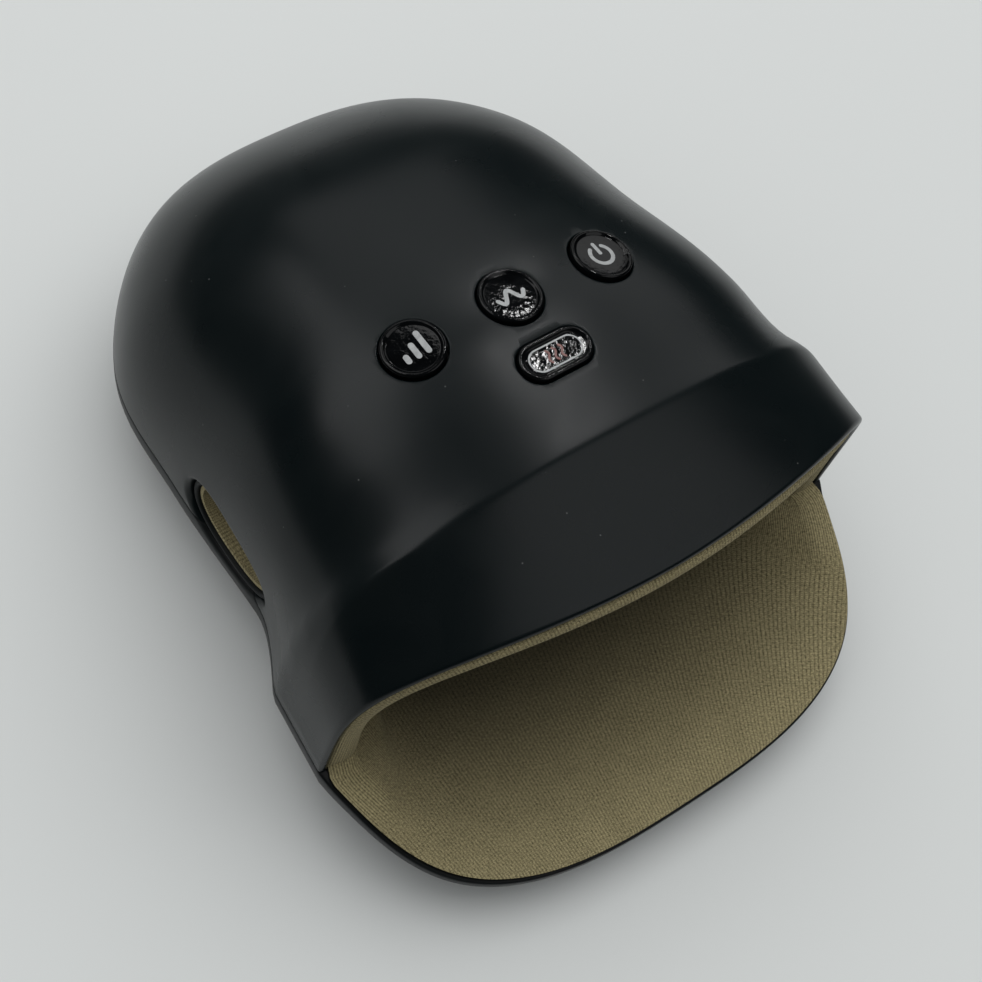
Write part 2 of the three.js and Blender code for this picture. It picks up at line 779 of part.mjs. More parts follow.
// Stadium bar along Y at the charging socket, widened by a margin
function jackBlock(margin, start, end) {
  const outline = stadiumOutline(jackHalfWidth + margin, jackHalfHeight + margin);
  const geometry = plateGeometry(outline, 0, end - start);
  geometry.rotateX(Math.PI / 2);
  geometry.translate(0, atStation(end), jackHeight);
  return solidOf(geometry);
}

// Rim of the base as one closed loop: left side, right side, then the tongue from right to left
function baseRim() {
  const stations = rowStations(0, 0);
  const side = (sign) => stations.map((station) => {
    const point = skinPoint(station, 0);
    return new THREE.Vector3(sign * Math.abs(point.x), point.y, point.z - seamGap);
  });
  const rear = new THREE.Vector3(0, atStation(coverLength), seamRearHeight - seamGap);
  const tongue = [];
  for (let i = 1; i < tongueSteps; i += 1) {
    tongue.push(tongueRim((Math.PI * i) / tongueSteps));
  }
  return [...side(-1), rear, ...side(1).reverse(), ...tongue];
}

// Share of the tongue's reach that its outline has covered at a turn
const aheadAt = (turn) => Math.abs(Math.sin(turn)) ** (2 / tonguePower);

// Blend that rises from 0 at the feet and stays at 1 beyond the share
const settled = (ahead, share) => 1 - (1 - clamp(ahead / share, 0, 1)) ** 2;

// Share of the cloth's lap over the tongue's rim, 0 at the feet
const lapAt = (turn) => settled(aheadAt(turn), tongueLapShare);

// Rim of the base's wall along the tongue, lowered under the lap of the cloth
function tongueRim(turn) {
  const point = tonguePoint(turn, 0);
  return point.setZ(point.z - tongueLedge * lapAt(turn));
}

// Point of the tongue's outline from the right foot (0) to the left foot (PI), moved inwards by inset
function tonguePoint(turn, inset) {
  const c = Math.cos(turn);
  const ahead = aheadAt(turn);
  const halfWidth = footHalfWidth - tongueTuck * settled(ahead, tongueTuckShare) - inset;
  return new THREE.Vector3(
    Math.sign(c) * halfWidth * Math.abs(c) ** (2 / tonguePower),
    atStation(-ahead * (tongueReach - inset)),
    seamFrontHeight - (seamFrontHeight - tongueTipHeight) * ahead - seamGap,
  );
}

// Point at a depth under the base's outer surface below one rim point; dip runs from 0 at the rim
// to PI / 2 underneath
function bowlPoint(rim, dip, depth) {
  const centreY = atStation(baseCentreStation);
  const inward = new THREE.Vector2(
    -rim.x * (1 - baseWidthShare),
    (centreY - rim.y) * (1 - baseLengthShare),
  );
  const inset = inward.length();
  const drop = rim.z - baseUnderside;
  const [c, s] = [Math.cos(dip), Math.sin(dip)];
  const point = new THREE.Vector3(rim.x + inward.x * (1 - c), rim.y + inward.y * (1 - c), rim.z - drop * s);
  const size = Math.hypot(drop * c, inset * s);
  const sideways = (depth * drop * c) / (size * inset);
  point.x += inward.x * sideways;
  point.y += inward.y * sideways;
  point.z += (depth * inset * s) / size;
  return point;
}

function baseShell() {
  const rim = baseRim();
  const level = (dip, depth) => rim.map((point) => bowlPoint(point, dip, depth));
  const rings = [];
  for (let i = bowlLevels; i >= 0; i -= 1) rings.push(level((Math.PI * i) / (2 * bowlLevels), 0));
  for (let i = 0; i <= bowlLevels; i += 1) rings.push(level((Math.PI * i) / (2 * bowlLevels), baseWall));
  const centreY = atStation(baseCentreStation);
  const floor = baseUnderside + baseWall;
  const shell = solidOf(loftGeometry(
    rings,
    new THREE.Vector3(0, centreY, baseUnderside),
    new THREE.Vector3(0, centreY, floor),
  ));
  const filled = solidOf(loftGeometry(
    rings.slice(0, bowlLevels + 1),
    new THREE.Vector3(0, centreY, baseUnderside),
    new THREE.Vector3(0, centreY, seamRearHeight),
  ));
  const posts = [
    ...caseScrews.map(({ x, y, seam }) => bar(x, y, 0, seam - seamGap, postRadius, 2 * smallSteps)),
    ...lowerPosts.map(({ x, y }) => bar(x, y, baseUnderside, lowerTrayBottom - fitGap,
      lowerPostRadius, smallSteps)),
    ...lowerPosts.map(({ x, y }) => bar(x, y, baseUnderside, lowerTrayBottom + trayThickness,
      lowerPinRadius, smallSteps)),
  ].map((post) => post.intersect(filled));
  const holes = [
    ...caseScrews.map(({ x, y, headTop }) => bar(x, y, -overrun, headTop,
      caseHeadRadius + fitGap, smallSteps)),
    ...caseScrews.map(({ x, y, seam }) => bar(x, y, 0, seam + overrun,
      caseShankRadius + fitGap, smallSteps)),
    ...pads.map(({ x, y }) => bar(x, y, 0, baseUnderside + padRecess, padRadius + fitGap, roundSteps)),
    thumbOval(0, waistHalfWidth - overrun, waistHalfWidth + overrun),
    thumbOval(0, -waistHalfWidth - overrun, -waistHalfWidth + overrun),
  ];
  return geometryOf(cutAll(addAll(shell, posts), holes));
}

const lowerPosts = [
  [-lowerPostOffset, lowerPostFrontStation],
  [lowerPostOffset, lowerPostFrontStation],
  [-lowerPostOffset, lowerPostRearStation],
  [lowerPostOffset, lowerPostRearStation],
].map(([x, station]) => ({ x, y: atStation(station) }));

const pads = [
  ['front_left', -padOffset, padFrontStation],
  ['front_right', padOffset, padFrontStation],
  ['rear_left', -padOffset, padRearStation],
  ['rear_right', padOffset, padRearStation],
].map(([name, x, station]) => ({ name, x, y: atStation(station) }));

// Strip behind the rim of the mouth, on the inner face of the cover
function mouthFrameTop() {
  const turns = archTurns(archSteps);
  const outerInset = coverWall + fitGap;
  const innerInset = outerInset + frameThickness;
  const section = (turn) => [
    skinPoint(frameStart, turn, outerInset),
    skinPoint(frameEnd, turn, outerInset),
    skinPoint(frameEnd, turn, innerInset),
    skinPoint(frameStart, turn, innerInset),
  ];
  const rings = turns.map((turn) => {
    const low = Math.sin(turn) < 1e-9;
    return section(turn).map((point) => (low ? point.setZ(point.z + seamGap) : point));
  });
  return loftGeometry(rings, middleOf(rings[0]), middleOf(rings[rings.length - 1]));
}

function middleOf(points) {
  return points.reduce((sum, point) => sum.add(point), new THREE.Vector3()).divideScalar(points.length);
}

// Strip behind the rim of the tongue, on the inner face of the base
function mouthFrameBase() {
  const outer = baseWall + lowerFrameGap;
  const [topDip, bottomDip] = lowerFrameDipShares.map((share) => (share * Math.PI) / 2);
  const rings = [];
  for (let i = 1; i < tongueSteps; i += 1) {
    const rim = tongueRim((Math.PI * i) / tongueSteps);
    rings.push([
      bowlPoint(rim, topDip, outer),
      bowlPoint(rim, bottomDip, outer),
      bowlPoint(rim, bottomDip, outer + frameThickness),
      bowlPoint(rim, topDip, outer + frameThickness),
    ]);
  }
  return loftGeometry(rings, middleOf(rings[0]), middleOf(rings[rings.length - 1]));
}

// Hem of the cloth at the mouth: the arch from left to right, then the tongue from right to left
function clothHem() {
  const inset = coverWall + fitGap + clothThickness / 2;
  const arch = archTurns(sleeveArchSteps).map((turn) => ({
    place: skinPoint(clothMouthStation, turn, inset),
    turn,
    top: Math.sin(turn),
    bottom: 0,
  }));
  const tongue = [];
  for (let i = 1; i < sleeveTongueSteps; i += 1) {
    const turn = (Math.PI * i) / sleeveTongueSteps;
    const place = tonguePoint(turn, inset + (clothLapInset - inset) * lapAt(turn));
    place.y += clothMouthStation * (1 - Math.sin(turn));
    tongue.push({ place, turn: -turn, top: 0, bottom: Math.sin(turn) });
  }
  return [...arch, ...tongue];
}

// Point of the hand cavity's section; turn runs like the hem's
function cavityPoint(station, turn, isTongue) {
  const t = clamp((station - cavityClosingStation) / (cavityEndStation - cavityClosingStation), 0, 1);
  const narrow = (1 - t ** cavityClosingPower) ** (1 / cavityClosingPower);
  const c = Math.cos(turn);
  const s = Math.abs(Math.sin(turn));
  const x = cavityHalfWidth * narrow * Math.abs(c) ** (2 / cavityWidthPower);
  const up = (cavityRoofHeight - cavityMiddleHeight) * narrow;
  const down = (cavityMiddleHeight - cavityFloorHeight) * narrow;
  const rise = s ** (2 / cavityHeightPower);
  return new THREE.Vector3(
    (isTongue ? Math.sign(c) : -Math.sign(c)) * x,
    atStation(station),
    cavityMiddleHeight + (isTongue ? -down : up) * rise,
  );
}

// Middle surface of the sleeve as rings from the mouth to the closed end
function sleeveRings() {
  const hem = clothHem();
  const funnel = sleevePathShares.map((w) => hem.map(({ place, turn, top, bottom }) => {
    const isTongue = turn < 0;
    const goal = cavityPoint(cavityStartStation, isTongue ? -turn : turn, isTongue);
    const b = Math.sqrt(bottom);
    const blend = (power) => funnelPower + (power - funnelPower) * b;
    const inShare = 1 - (1 - w) ** blend(tongueInPower);
    const downShare = 1 - (1 - w) ** blend(tongueDownPower);
    const backShare = w ** blend(tongueBackPower);
    const bump = (w / clothRollShare) * Math.exp(1 - w / clothRollShare);
    const dish = clothDish * b * 4 * w * (1 - w);
    return new THREE.Vector3(
      place.x + (goal.x - place.x) * inShare,
      place.y + (goal.y - place.y) * backShare - clothRoll * top * bump,
      place.z + (goal.z - place.z) * downShare - dish,
    );
  }));
  const cavity = sleeveStationShares.map((share) => hem.map(({ turn }) => {
    const station = cavityStartStation + (cavityEndStation - cavityStartStation) * share;
    return cavityPoint(station, Math.abs(turn), turn < 0);
  }));
  return [...funnel, ...cavity];
}

// Rings moved along their surface normal by an offset
function offsetRings(rings, offset) {
  const count = rings[0].length;
  return rings.map((ring, r) => ring.map((point, i) => {
    const before = rings[Math.max(r - 1, 0)][i];
    const after = rings[Math.min(r + 1, rings.length - 1)][i];
    const along = after.clone().sub(before);
    const around = ring[(i + 1) % count].clone().sub(ring[(i + count - 1) % count]);
    const normal = around.cross(along).normalize();
    return point.clone().addScaledVector(normal, offset);
  }));
}

function sleevePole(offset) {
  return new THREE.Vector3(0, atStation(cavityEndStation) + offset, cavityMiddleHeight);
}

// Filled solid inside the sleeve's surface at an offset from its middle surface
function sleeveFilled(offset) {
  const rings = offsetRings(sleeveRings(), offset);
  return solidOf(loftGeometry(rings, middleOf(rings[0]), sleevePole(offset)));
}

const offsetSign = (() => {
  const rings = sleeveRings();
  const moved = offsetRings(rings, clothThickness);
  const ring = rings.length - 3;
  return moved[ring][0].x < rings[ring][0].x ? 1 : -1;
})();

function fabricSleeve() {
  const rings = sleeveRings();
  const half = (offsetSign * clothThickness) / 2;
  const outer = offsetRings(rings, half).reverse();
  const inner = offsetRings(rings, -half);
  const body = solidOf(loftGeometry(
    [...outer, ...inner],
    sleevePole(clothThickness / 2),
    sleevePole(-clothThickness / 2),
  ));
  const cuts = [-1, 1].map((side) =>
    thumbOval(-thumbRingWall, side * thumbPortInnerFace, side * waistHalfWidth));
  return geometryOf(cutAll(body, cuts));
}

// Ring that lines a thumb hole and clamps the cloth port
function thumbRing(side) {
  const tube = thumbOval(-fitGap, side * thumbRingInnerFace, side * thumbRingOuterFace);
  const flange = thumbOval(
    thumbFlangeWidth,
    side * (thumbFlangeFace - thumbFlangeThickness),
    side * thumbFlangeFace,
  );
  const bore = thumbOval(
    -fitGap - thumbRingWall,
    side * (thumbRingInnerFace - overrun),
    side * (thumbRingOuterFace + overrun),
  );
  return geometryOf(tube.add(flange).subtract(bore));
}

// Cloth tube from a thumb ring to the hand cavity
function thumbPort(side) {
  const outer = -2 * fitGap - thumbRingWall;
  const tube = thumbOval(outer, side * thumbPortInnerFace, side * thumbPortFace);
  const bore = thumbOval(
    outer - clothThickness,
    side * (thumbPortInnerFace - overrun),
    side * (thumbPortFace + overrun),
  );
  const inside = sleeveFilled(offsetSign * (clothThickness / 2 + fitGap));
  return geometryOf(tube.subtract(bore).subtract(inside));
}

// Flat air bag with a welded hem; the port is a stub on its top or its right side
function airBag(bottom, thickness, port) {
  const outline = roundedOutline(bagHalfWidth - bagEdge, bagStart + bagEdge, bagEnd - bagEdge, bagCorner);
  const pillow = new THREE.ExtrudeGeometry(outline, {
    depth: thickness - 2 * bagEdge,
    bevelThickness: bagEdge,
    bevelSize: bagEdge,
    bevelSegments: 2,
    curveSegments: 3,
  });
  pillow.translate(0, 0, bottom + bagEdge);
  const middle = bottom + thickness / 2;
  const hemOutline = roundedOutline(
    bagHalfWidth + bagHemWidth,
    bagStart - bagHemWidth,
    bagEnd + bagHemWidth,
    bagCorner,
  );
  const hem = solidOf(new THREE.ExtrudeGeometry(hemOutline, {
    depth: bagHemThickness,
    bevelEnabled: false,
    curveSegments: 3,
  }).translate(0, 0, middle - bagHemThickness / 2));
  return geometryOf(solidOf(pillow).add(hem).add(port));
}

// Bar along X between two places
function crossBar(x0, x1, y, z, radius, steps = roundSteps) {
  const cylinder = new THREE.CylinderGeometry(radius, radius, x1 - x0, steps);
  cylinder.rotateZ(Math.PI / 2);
  cylinder.translate((x0 + x1) / 2, y, z);
  return solidOf(cylinder);
}

// Bar along Y between two places
function lengthBar(x, y0, y1, z, radius, steps = roundSteps) {
  const cylinder = new THREE.CylinderGeometry(radius, radius, y1 - y0, steps);
  cylinder.translate(x, (y0 + y1) / 2, z);
  return solidOf(cylinder);
}

const filmBottom = cavityRoofHeight + clothThickness / 2 + fitGap;
const upperBagBottom = filmBottom + filmThickness + fitGap;
const lowerTrayTop = lowerTrayBottom + trayThickness;
const lowerBagBottom = lowerTrayTop + fitGap;
const lowerBagMiddle = lowerBagBottom + lowerBagThickness / 2;
const cellHeight = upperTrayTop + cellFloorGap + cellRadius;
const pumpHeight = upperTrayTop + pumpFloorGap + pumpRadius;
const valveBottom = upperTrayTop + fitGap;
const valveMiddle = valveBottom + valveHeight / 2;
const valveFront = atStation(valveStation) - valveLength / 2;
const valveRear = valveFront + valveLength;
const manifoldFront = valveRear + fitGap;
const manifoldRear = manifoldFront + manifoldLength;

function upperAirbag() {
  const port = bar(upperBagPortX, atStation(upperBagPortStation), upperBagBottom + bagEdge,
    upperBagPortHeight, bagPortRadius, smallSteps);
  return airBag(upperBagBottom, upperBagThickness, port);
}

function lowerAirbag() {
  const port = crossBar(bagHalfWidth - bagEdge, lowerBagPortX, atStation(lowerBagPortStation),
    lowerBagMiddle, bagPortRadius, smallSteps);
  return airBag(lowerBagBottom, lowerBagThickness, port);
}

function upperTray() {
  const shape = new THREE.Shape();
  const corners = [
    [-upperTrayHalfWidth, upperTrayStart],
    [upperTrayHalfWidth, upperTrayStart],
    [upperTrayHalfWidth, upperTrayShoulder],
    [upperTrayEndHalfWidth, upperTrayEnd],
    [-upperTrayEndHalfWidth, upperTrayEnd],
    [-upperTrayHalfWidth, upperTrayShoulder],
  ];
  corners.forEach(([x, station], i) => {
    if (i === 0) shape.moveTo(x, atStation(station));
    else shape.lineTo(x, atStation(station));
  });
  const plate = solidOf(plateGeometry(shape, upperTrayBottom, upperTrayTop));
  const cradles = [-1, 1].flatMap((side) => cradleStationShares.map((share) => {
    const y = atStation(cellStart + cellLength * share);
    const half = cellRadius + fitGap + cradleWall;
    return block(
      side * cellOffset - half, side * cellOffset + half,
      y - cradleRibThickness / 2, y + cradleRibThickness / 2,
      upperTrayTop - trayThickness / 2, upperTrayTop + cradleRibHeight,
    );
  }));
  const saddles = saddlePlaceShares.map((share) => {
    const x = pumpHalfLength * share;
    return block(
      x - saddleThickness / 2, x + saddleThickness / 2,
      atStation(pumpStation) - saddleHalfWidth, atStation(pumpStation) + saddleHalfWidth,
      upperTrayTop - trayThickness / 2, upperTrayTop + saddleHeight,
    );
  });
  const standoffs = standoffSpots.map(([x, y]) => bar(x, y, upperTrayTop - trayThickness / 2,
    upperTrayTop + standoffHeight, standoffRadius, smallSteps));
  const cellStartY = atStation(cellStart) - overrun;
  const cellEndY = atStation(cellStart + cellLength) + overrun;
  const cuts = [
    ...[-1, 1].map((side) =>
      lengthBar(side * cellOffset, cellStartY, cellEndY, cellHeight, cellRadius + fitGap)),
    crossBar(-pumpHalfLength - overrun, pumpHalfLength + overrun, atStation(pumpStation), pumpHeight,
      pumpRadius + fitGap),
    bar(upperBagPortX, atStation(upperBagPortStation), upperTrayBottom - overrun,
      upperTrayTop + overrun, bagPortRadius + 2 * fitGap, smallSteps),
    ...trayPosts.map(({ x, y }) => bar(x, y, upperTrayBottom - overrun, upperTrayTop + overrun,
      smallShankRadius + fitGap, smallSteps)),
  ];
  return geometryOf(cutAll(addAll(plate, [...cradles, ...saddles, ...standoffs]), cuts));
}

const standoffSpots = [-1, 1].flatMap((side) => {
  const x = side * (mainBoardHalfWidth - standoffInset);
  const stations = [mainBoardStart + standoffInset, mainBoardEnd - standoffInset];
  return stations.map((station) => [x, atStation(station)]);
});

function lowerTray() {
  const plate = solidOf(plateGeometry(
    roundedOutline(lowerTrayHalfWidth, lowerTrayStart, lowerTrayEnd, trayCornerRadius),
    lowerTrayBottom,
    lowerTrayTop,
  ));
  const holes = lowerPosts.map(({ x, y }) => bar(x, y, lowerTrayBottom - overrun, lowerTrayTop + overrun,
    lowerPinRadius + fitGap, smallSteps));
  return geometryOf(cutAll(plate, holes));
}

function heatingFilm() {
  return plateGeometry(
    roundedOutline(filmHalfWidth, filmStart, filmEnd, trayCornerRadius),
    filmBottom,
    filmBottom + filmThickness,
  );
}

// Battery cell about its own Y axis, its raised terminal towards the finger end
function cellGeometry() {
  const edge = cellTerminalHeight / 2;
  const pairs = [
    [0, 0],
    [cellRadius - edge, 0],
    [cellRadius, edge],
    [cellRadius, cellLength - cellTerminalHeight - edge],
    [cellRadius - edge, cellLength - cellTerminalHeight],
    [cellTerminalRadius, cellLength - cellTerminalHeight],
    [cellTerminalRadius, cellLength],
    [0, cellLength],
  ];
  return new THREE.LatheGeometry(pairs.map(([r, y]) => new THREE.Vector2(r, y)), roundSteps);
}

// Strap over a battery cell, screwed down by the tray's ribs
function cellClamp(side) {
  const inner = cellRadius + fitGap;
  const outer = inner + clampThickness;
  const y = atStation(cellStart + cellLength * clampStationShare);
  const foot = upperTrayTop + fitGap;
  const x = side * cellOffset;
  const arch = lengthBar(x, y - clampWidth / 2, y + clampWidth / 2, cellHeight, outer);
  const legs = block(x - outer, x + outer, y - clampWidth / 2, y + clampWidth / 2, foot, cellHeight);
  const bore = lengthBar(x, y - clampWidth, y + clampWidth, cellHeight, inner);
  const slot = block(x - inner, x + inner, y - clampWidth, y + clampWidth, foot - overrun, cellHeight);
  return geometryOf(arch.add(legs).subtract(bore).subtract(slot));
}

// Board with its soldered parts; the parts rise from the board's top face
function mainBoard() {
  const bottom = upperTrayTop + standoffHeight + fitGap;
  const top = bottom + boardThickness;
  const [y0, y1] = [atStation(mainBoardStart), atStation(mainBoardEnd)];
  const middle = (y0 + y1) / 2;
  const board = block(-mainBoardHalfWidth, mainBoardHalfWidth, y0, y1, bottom, top);
  const sunk = top - boardThickness / 2;
  const parts = [
    block(-chipSize / 2, chipSize / 2, middle - chipSize / 2, middle + chipSize / 2, sunk,
      top + chipHeight),
    ...capacitorPlaceShares.map((share) =>
      bar(mainBoardHalfWidth * share, middle, sunk, top + capacitorHeight, capacitorRadius, smallSteps)),
    ...connectorPlaceShares.map((share) => {
      const x = mainBoardHalfWidth * share;
      return block(x - connectorLength / 2, x + connectorLength / 2, y0, y0 + connectorWidth, sunk,
        top + connectorHeight);
    }),
  ];
  return geometryOf(addAll(board, parts));
}

function buttonBoard() {
  const bottom = buttonBoardTop - boardThickness;
  const board = block(-buttonBoardHalfWidth, buttonBoardHalfWidth, atStation(buttonBoardStart),
    atStation(buttonBoardEnd), bottom, buttonBoardTop);
  const switches = Object.values(buttons).flatMap((button) => {
    const { x, y } = switchSpot(button);
    const sunk = buttonBoardTop - boardThickness / 2;
    return [
      block(x - switchHalfSize, x + switchHalfSize, y - switchHalfSize, y + switchHalfSize, sunk,
        buttonBoardTop + switchBodyHeight),
      bar(x, y, sunk, switchTop, switchPlungerRadius, smallSteps),
    ];
  });
  const holes = boardPosts.map(({ x, y }) => bar(x, y, bottom - overrun, buttonBoardTop + overrun,
    smallShankRadius + fitGap, smallSteps));
  return geometryOf(cutAll(addAll(board, switches), holes));
}

// Round push button about its own Z axis, with its zero on the skin
function roundCap(reach) {
  const flangeTop = -capSkirt;
  const flangeBottom = flangeTop - capFlangeThickness;
  const rim = capRimWidthShares.map((share, i) => [
    capRadius - capRimWidth * share,
    capRise * capRimHeightShares[i],
  ]);
  return turnedGeometry([
    [0, -reach],
    [capStemRadius, -reach],
    [capStemRadius, flangeBottom],
    [capRadius + capFlangeWidth, flangeBottom],
    [capRadius + capFlangeWidth, flangeTop],
    [capRadius, flangeTop],
    [capRadius, capDish],
    ...rim,
    [capRadius - capRimWidth, capDish],
    [0, capDish],
  ]);
}

// Stadium push button about its own Z axis
function heatCap(reach) {
  const halfLength = heatHoleHalfLength - heatCapGap;
  const halfWidth = heatHoleHalfWidth - heatCapGap;
  const flangeBottom = -capSkirt - capFlangeThickness;
  const body = heatSlab(halfLength, halfWidth, flangeBottom, capRise)
    .add(heatSlab(halfLength + capFlangeWidth, halfWidth + capFlangeWidth, flangeBottom, -capSkirt))
    .add(bar(0, 0, -reach, -capSkirt, capStemRadius));
  const dish = heatSlab(
    halfLength - capRimWidth / 2,
    halfWidth - capRimWidth / 2,
    capDish,
    capRise + overrun,
  );
  return geometryOf(body.subtract(dish));
}

// Pump along X: motor on the left, head on the right
const motorFace = -pumpHalfLength + motorLength;
const headStart = motorFace + fitGap;

function pumpMotor() {
  const y = atStation(pumpStation);
  const can = crossBar(-pumpHalfLength, motorFace, y, pumpHeight, motorRadius);
  const bore = crossBar(motorFace - shaftInMotor - fitGap, motorFace + overrun, y, pumpHeight,
    shaftRadius + runningGap);
  return geometryOf(can.subtract(bore));
}

function pumpHead() {
  const y = atStation(pumpStation);
  const body = crossBar(headStart, pumpHalfLength, y, pumpHeight, pumpRadius);
  const nozzle = lengthBar(pumpNozzleX, y - pumpRadius - pumpNozzleLength, y - headBoreRadius,
    pumpHeight, pumpNozzleRadius, smallSteps);
  const bore = crossBar(headStart - overrun, headStart + headBoreDepth, y, pumpHeight, headBoreRadius);
  return geometryOf(body.add(nozzle).subtract(bore));
}

// Shaft with its eccentric, turning about X
function pumpRotor() {
  const y = atStation(pumpStation);
  const start = motorFace - shaftInMotor;
  const eccentricStart = motorFace + fitGap + eccentricSetback;
  const end = eccentricStart + eccentricThickness;
  const shaft = crossBar(start, end, y, pumpHeight, shaftRadius, 2 * smallSteps);
  const eccentric = crossBar(eccentricStart, end, y, pumpHeight + eccentricOffset, eccentricRadius);
  return geometryOf(shaft.add(eccentric));
}

// Solenoid valve with its bore along Y, open at the front, and an outlet on its outer side
function valveBody(side) {
  const x = side * valveOffset;
  const body = block(x - valveHalfWidth, x + valveHalfWidth, valveFront, valveRear, valveBottom,
    valveBottom + valveHeight);
  const outletEnd = x + side * (valveHalfWidth + pumpNozzleLength);
  const outlet = crossBar(Math.min(x, outletEnd), Math.max(x, outletEnd), atStation(valveStation),
    valveMiddle, pumpNozzleRadius, smallSteps);
  const boreEnd = valveFront + plungerLength - plungerProud + 2 * plungerTravel;
  const bore = lengthBar(x, valveFront - overrun, boreEnd, valveMiddle, valveBoreRadius);
  return geometryOf(body.add(outlet).subtract(bore));
}

// Sprung plunger of a valve, standing proud at the front
function valvePlunger(side) {
  const x = side * valveOffset;
  const start = valveFront - plungerProud;
  const rod = lengthBar(x, start, start + plungerLength, valveMiddle, valveBoreRadius - runningGap);
  const collar = lengthBar(x, start, start + plungerCollarThickness, valveMiddle, plungerCollarRadius);
  return geometryOf(rod.add(collar));
}

function airManifold() {
  const bottom = valveMiddle - manifoldHeight / 2;
  const body = block(-manifoldHalfWidth, manifoldHalfWidth, manifoldFront, manifoldRear, bottom,
    bottom + manifoldHeight);
  const nozzle = lengthBar(0, manifoldRear - manifoldLength / 2, manifoldRear + pumpNozzleLength,
    valveMiddle, pumpNozzleRadius, smallSteps);
  const foot = block(-manifoldHalfWidth, manifoldHalfWidth, manifoldFront, manifoldRear,
    upperTrayTop + fitGap, bottom + fitGap);
  return geometryOf(body.add(nozzle).add(foot));
}

// Hose along a smooth route, ending square to the stubs that it faces
function hose(points, steps) {
  const places = points.map(([x, y, z]) => new THREE.Vector3(x, y, z));
  const curve = new THREE.CatmullRomCurve3(places, false, 'centripetal');
  const section = new THREE.Shape();
  section.absarc(0, 0, hoseRadius, 0, 2 * Math.PI, false);
  return new THREE.ExtrudeGeometry(section, { steps, extrudePath: curve, curveSegments: 4 });
}

function pumpHose() {
  const start = atStation(pumpStation) - pumpRadius - pumpNozzleLength - fitGap;
  const end = manifoldRear + pumpNozzleLength + fitGap;
  const reach = start - end;
  return hose([
    [pumpNozzleX, start, pumpHeight],
    [pumpNozzleX, start - reach * hoseLeadShare, pumpHeight],
    [pumpNozzleX / 2, (start + end) / 2, (pumpHeight + valveMiddle) / 2],
    [0, end + reach * hoseLeadShare, valveMiddle],
    [0, end, valveMiddle],
  ], 14);
}

function upperHose() {
  const x = -valveOffset - valveHalfWidth - pumpNozzleLength - fitGap;
  const y = atStation(valveStation);
  const top = upperBagPortHeight + fitGap;
  const goal = atStation(upperBagPortStation);
  return hose([
    [x, y, valveMiddle],
    [x - hoseRadius, y, valveMiddle],
    [x - 2 * hoseRadius, y + 2 * hoseRadius, valveMiddle + hoseRadius],
    [upperBagPortX, (y + goal) / 2, top + 3 * hoseRadius],
    [upperBagPortX, goal - 2 * hoseRadius, top + 3 * hoseRadius],
    [upperBagPortX, goal, top + hoseRadius * hoseDropShare],
    [upperBagPortX, goal, top],
  ], 20);
}

function lowerHose() {
  const x = valveOffset + valveHalfWidth + pumpNozzleLength + fitGap;
  const y = atStation(valveStation);
  const front = atStation(hoseFrontStation);
  const side = hoseSideOffset;
  const goal = atStation(lowerBagPortStation);
  const bend = 2 * hoseRadius;
  return hose([
    [x, y, valveMiddle],
    [x + hoseRadius, y, valveMiddle],
    [x + bend, front + bend, hoseRouteHeight],
    [x + 2 * bend, front, hoseRouteHeight],
    [side - 2 * bend, front, hoseRouteHeight],
    [side, front + 2 * bend, hoseRouteHeight],
    [side, (front + goal) / 2, hoseRouteHeight],
    [side, goal - 2 * bend, hoseRouteHeight],
    [side, goal, hoseRouteHeight - 2 * bend],
    [side, goal, (hoseRouteHeight + lowerBagMiddle) / 2],
    [side, goal, lowerBagMiddle + bend],
    [lowerBagPortX + hoseRadius, goal, lowerBagMiddle],
    [lowerBagPortX + fitGap, goal, lowerBagMiddle],
  ], 32);
}

// Charging socket on its small board, facing out through the finger end
function chargeJack() {
  const end = coverLength - jackSetback;
  const shell = jackBlock(0, end - jackLength, end);
  const mouth = jackBlock(-jackShell, end - jackLength + 2 * jackShell, end + overrun);
  const boardTop = jackHeight - jackHalfHeight;
  const board = block(
    -jackBoardHalfWidth + fitGap, jackBoardHalfWidth - fitGap,
    atStation(end - coverWall - jackBoardLength), atStation(end - coverWall - fitGap),
    boardTop - jackBoardThickness, boardTop + jackShell / 2,
  );
  return geometryOf(shell.add(board).subtract(mouth));
}

// Screw pointing up, its head's top face at zero height
function screwGeometry(shankRadius, headRadius, headHeight, shankLength) {
  const tip = shankRadius / 2;
  return turnedGeometry([
    [0, -headHeight],
    [headRadius * headTopShare, -headHeight],
    [headRadius, -headHeight * headEdgeShare],
    [headRadius, 0],
    [shankRadius, 0],
    [shankRadius, shankLength - tip],
    [0, shankLength],
  ], smallSteps);
}

function padGeometry() {
  const edge = padRecess / 2;
  return turnedGeometry([
    [0, 0],
    [padRadius - edge, 0],
    [padRadius, edge],
    [padRadius, padThickness],
    [0, padThickness],
  ], 2 * smallSteps);
}

const plastic = (color, roughness) => new THREE.MeshStandardMaterial({ color, roughness, metalness: 0 });
const metal = (color, roughness) => new THREE.MeshStandardMaterial({ color, roughness, metalness: 1 });

function piece(name, geometry, material, x = 0, y = 0, z = 0) {
  const merged = joined(geometry);
  merged.computeVertexNormals();
  const mesh = new THREE.Mesh(merged, material);
  mesh.name = name;
  mesh.position.set(x, y, z);
  return mesh;
}

const black = 0x15171a;
const innerBlack = 0x1c1e20;
const khaki = 0x9a8f76;
const white = 0xd9dbdc;
const green = 0x1d5b3a;
const steel = 0xb4b8bb;
const blue = 0x2f6fb0;
const amber = 0xb5651d;
const clear = 0xc9cdd0;
const grey = 0x3c3f42;
const glossBlack = 0x0c0d0f;

const massager = new THREE.Group();

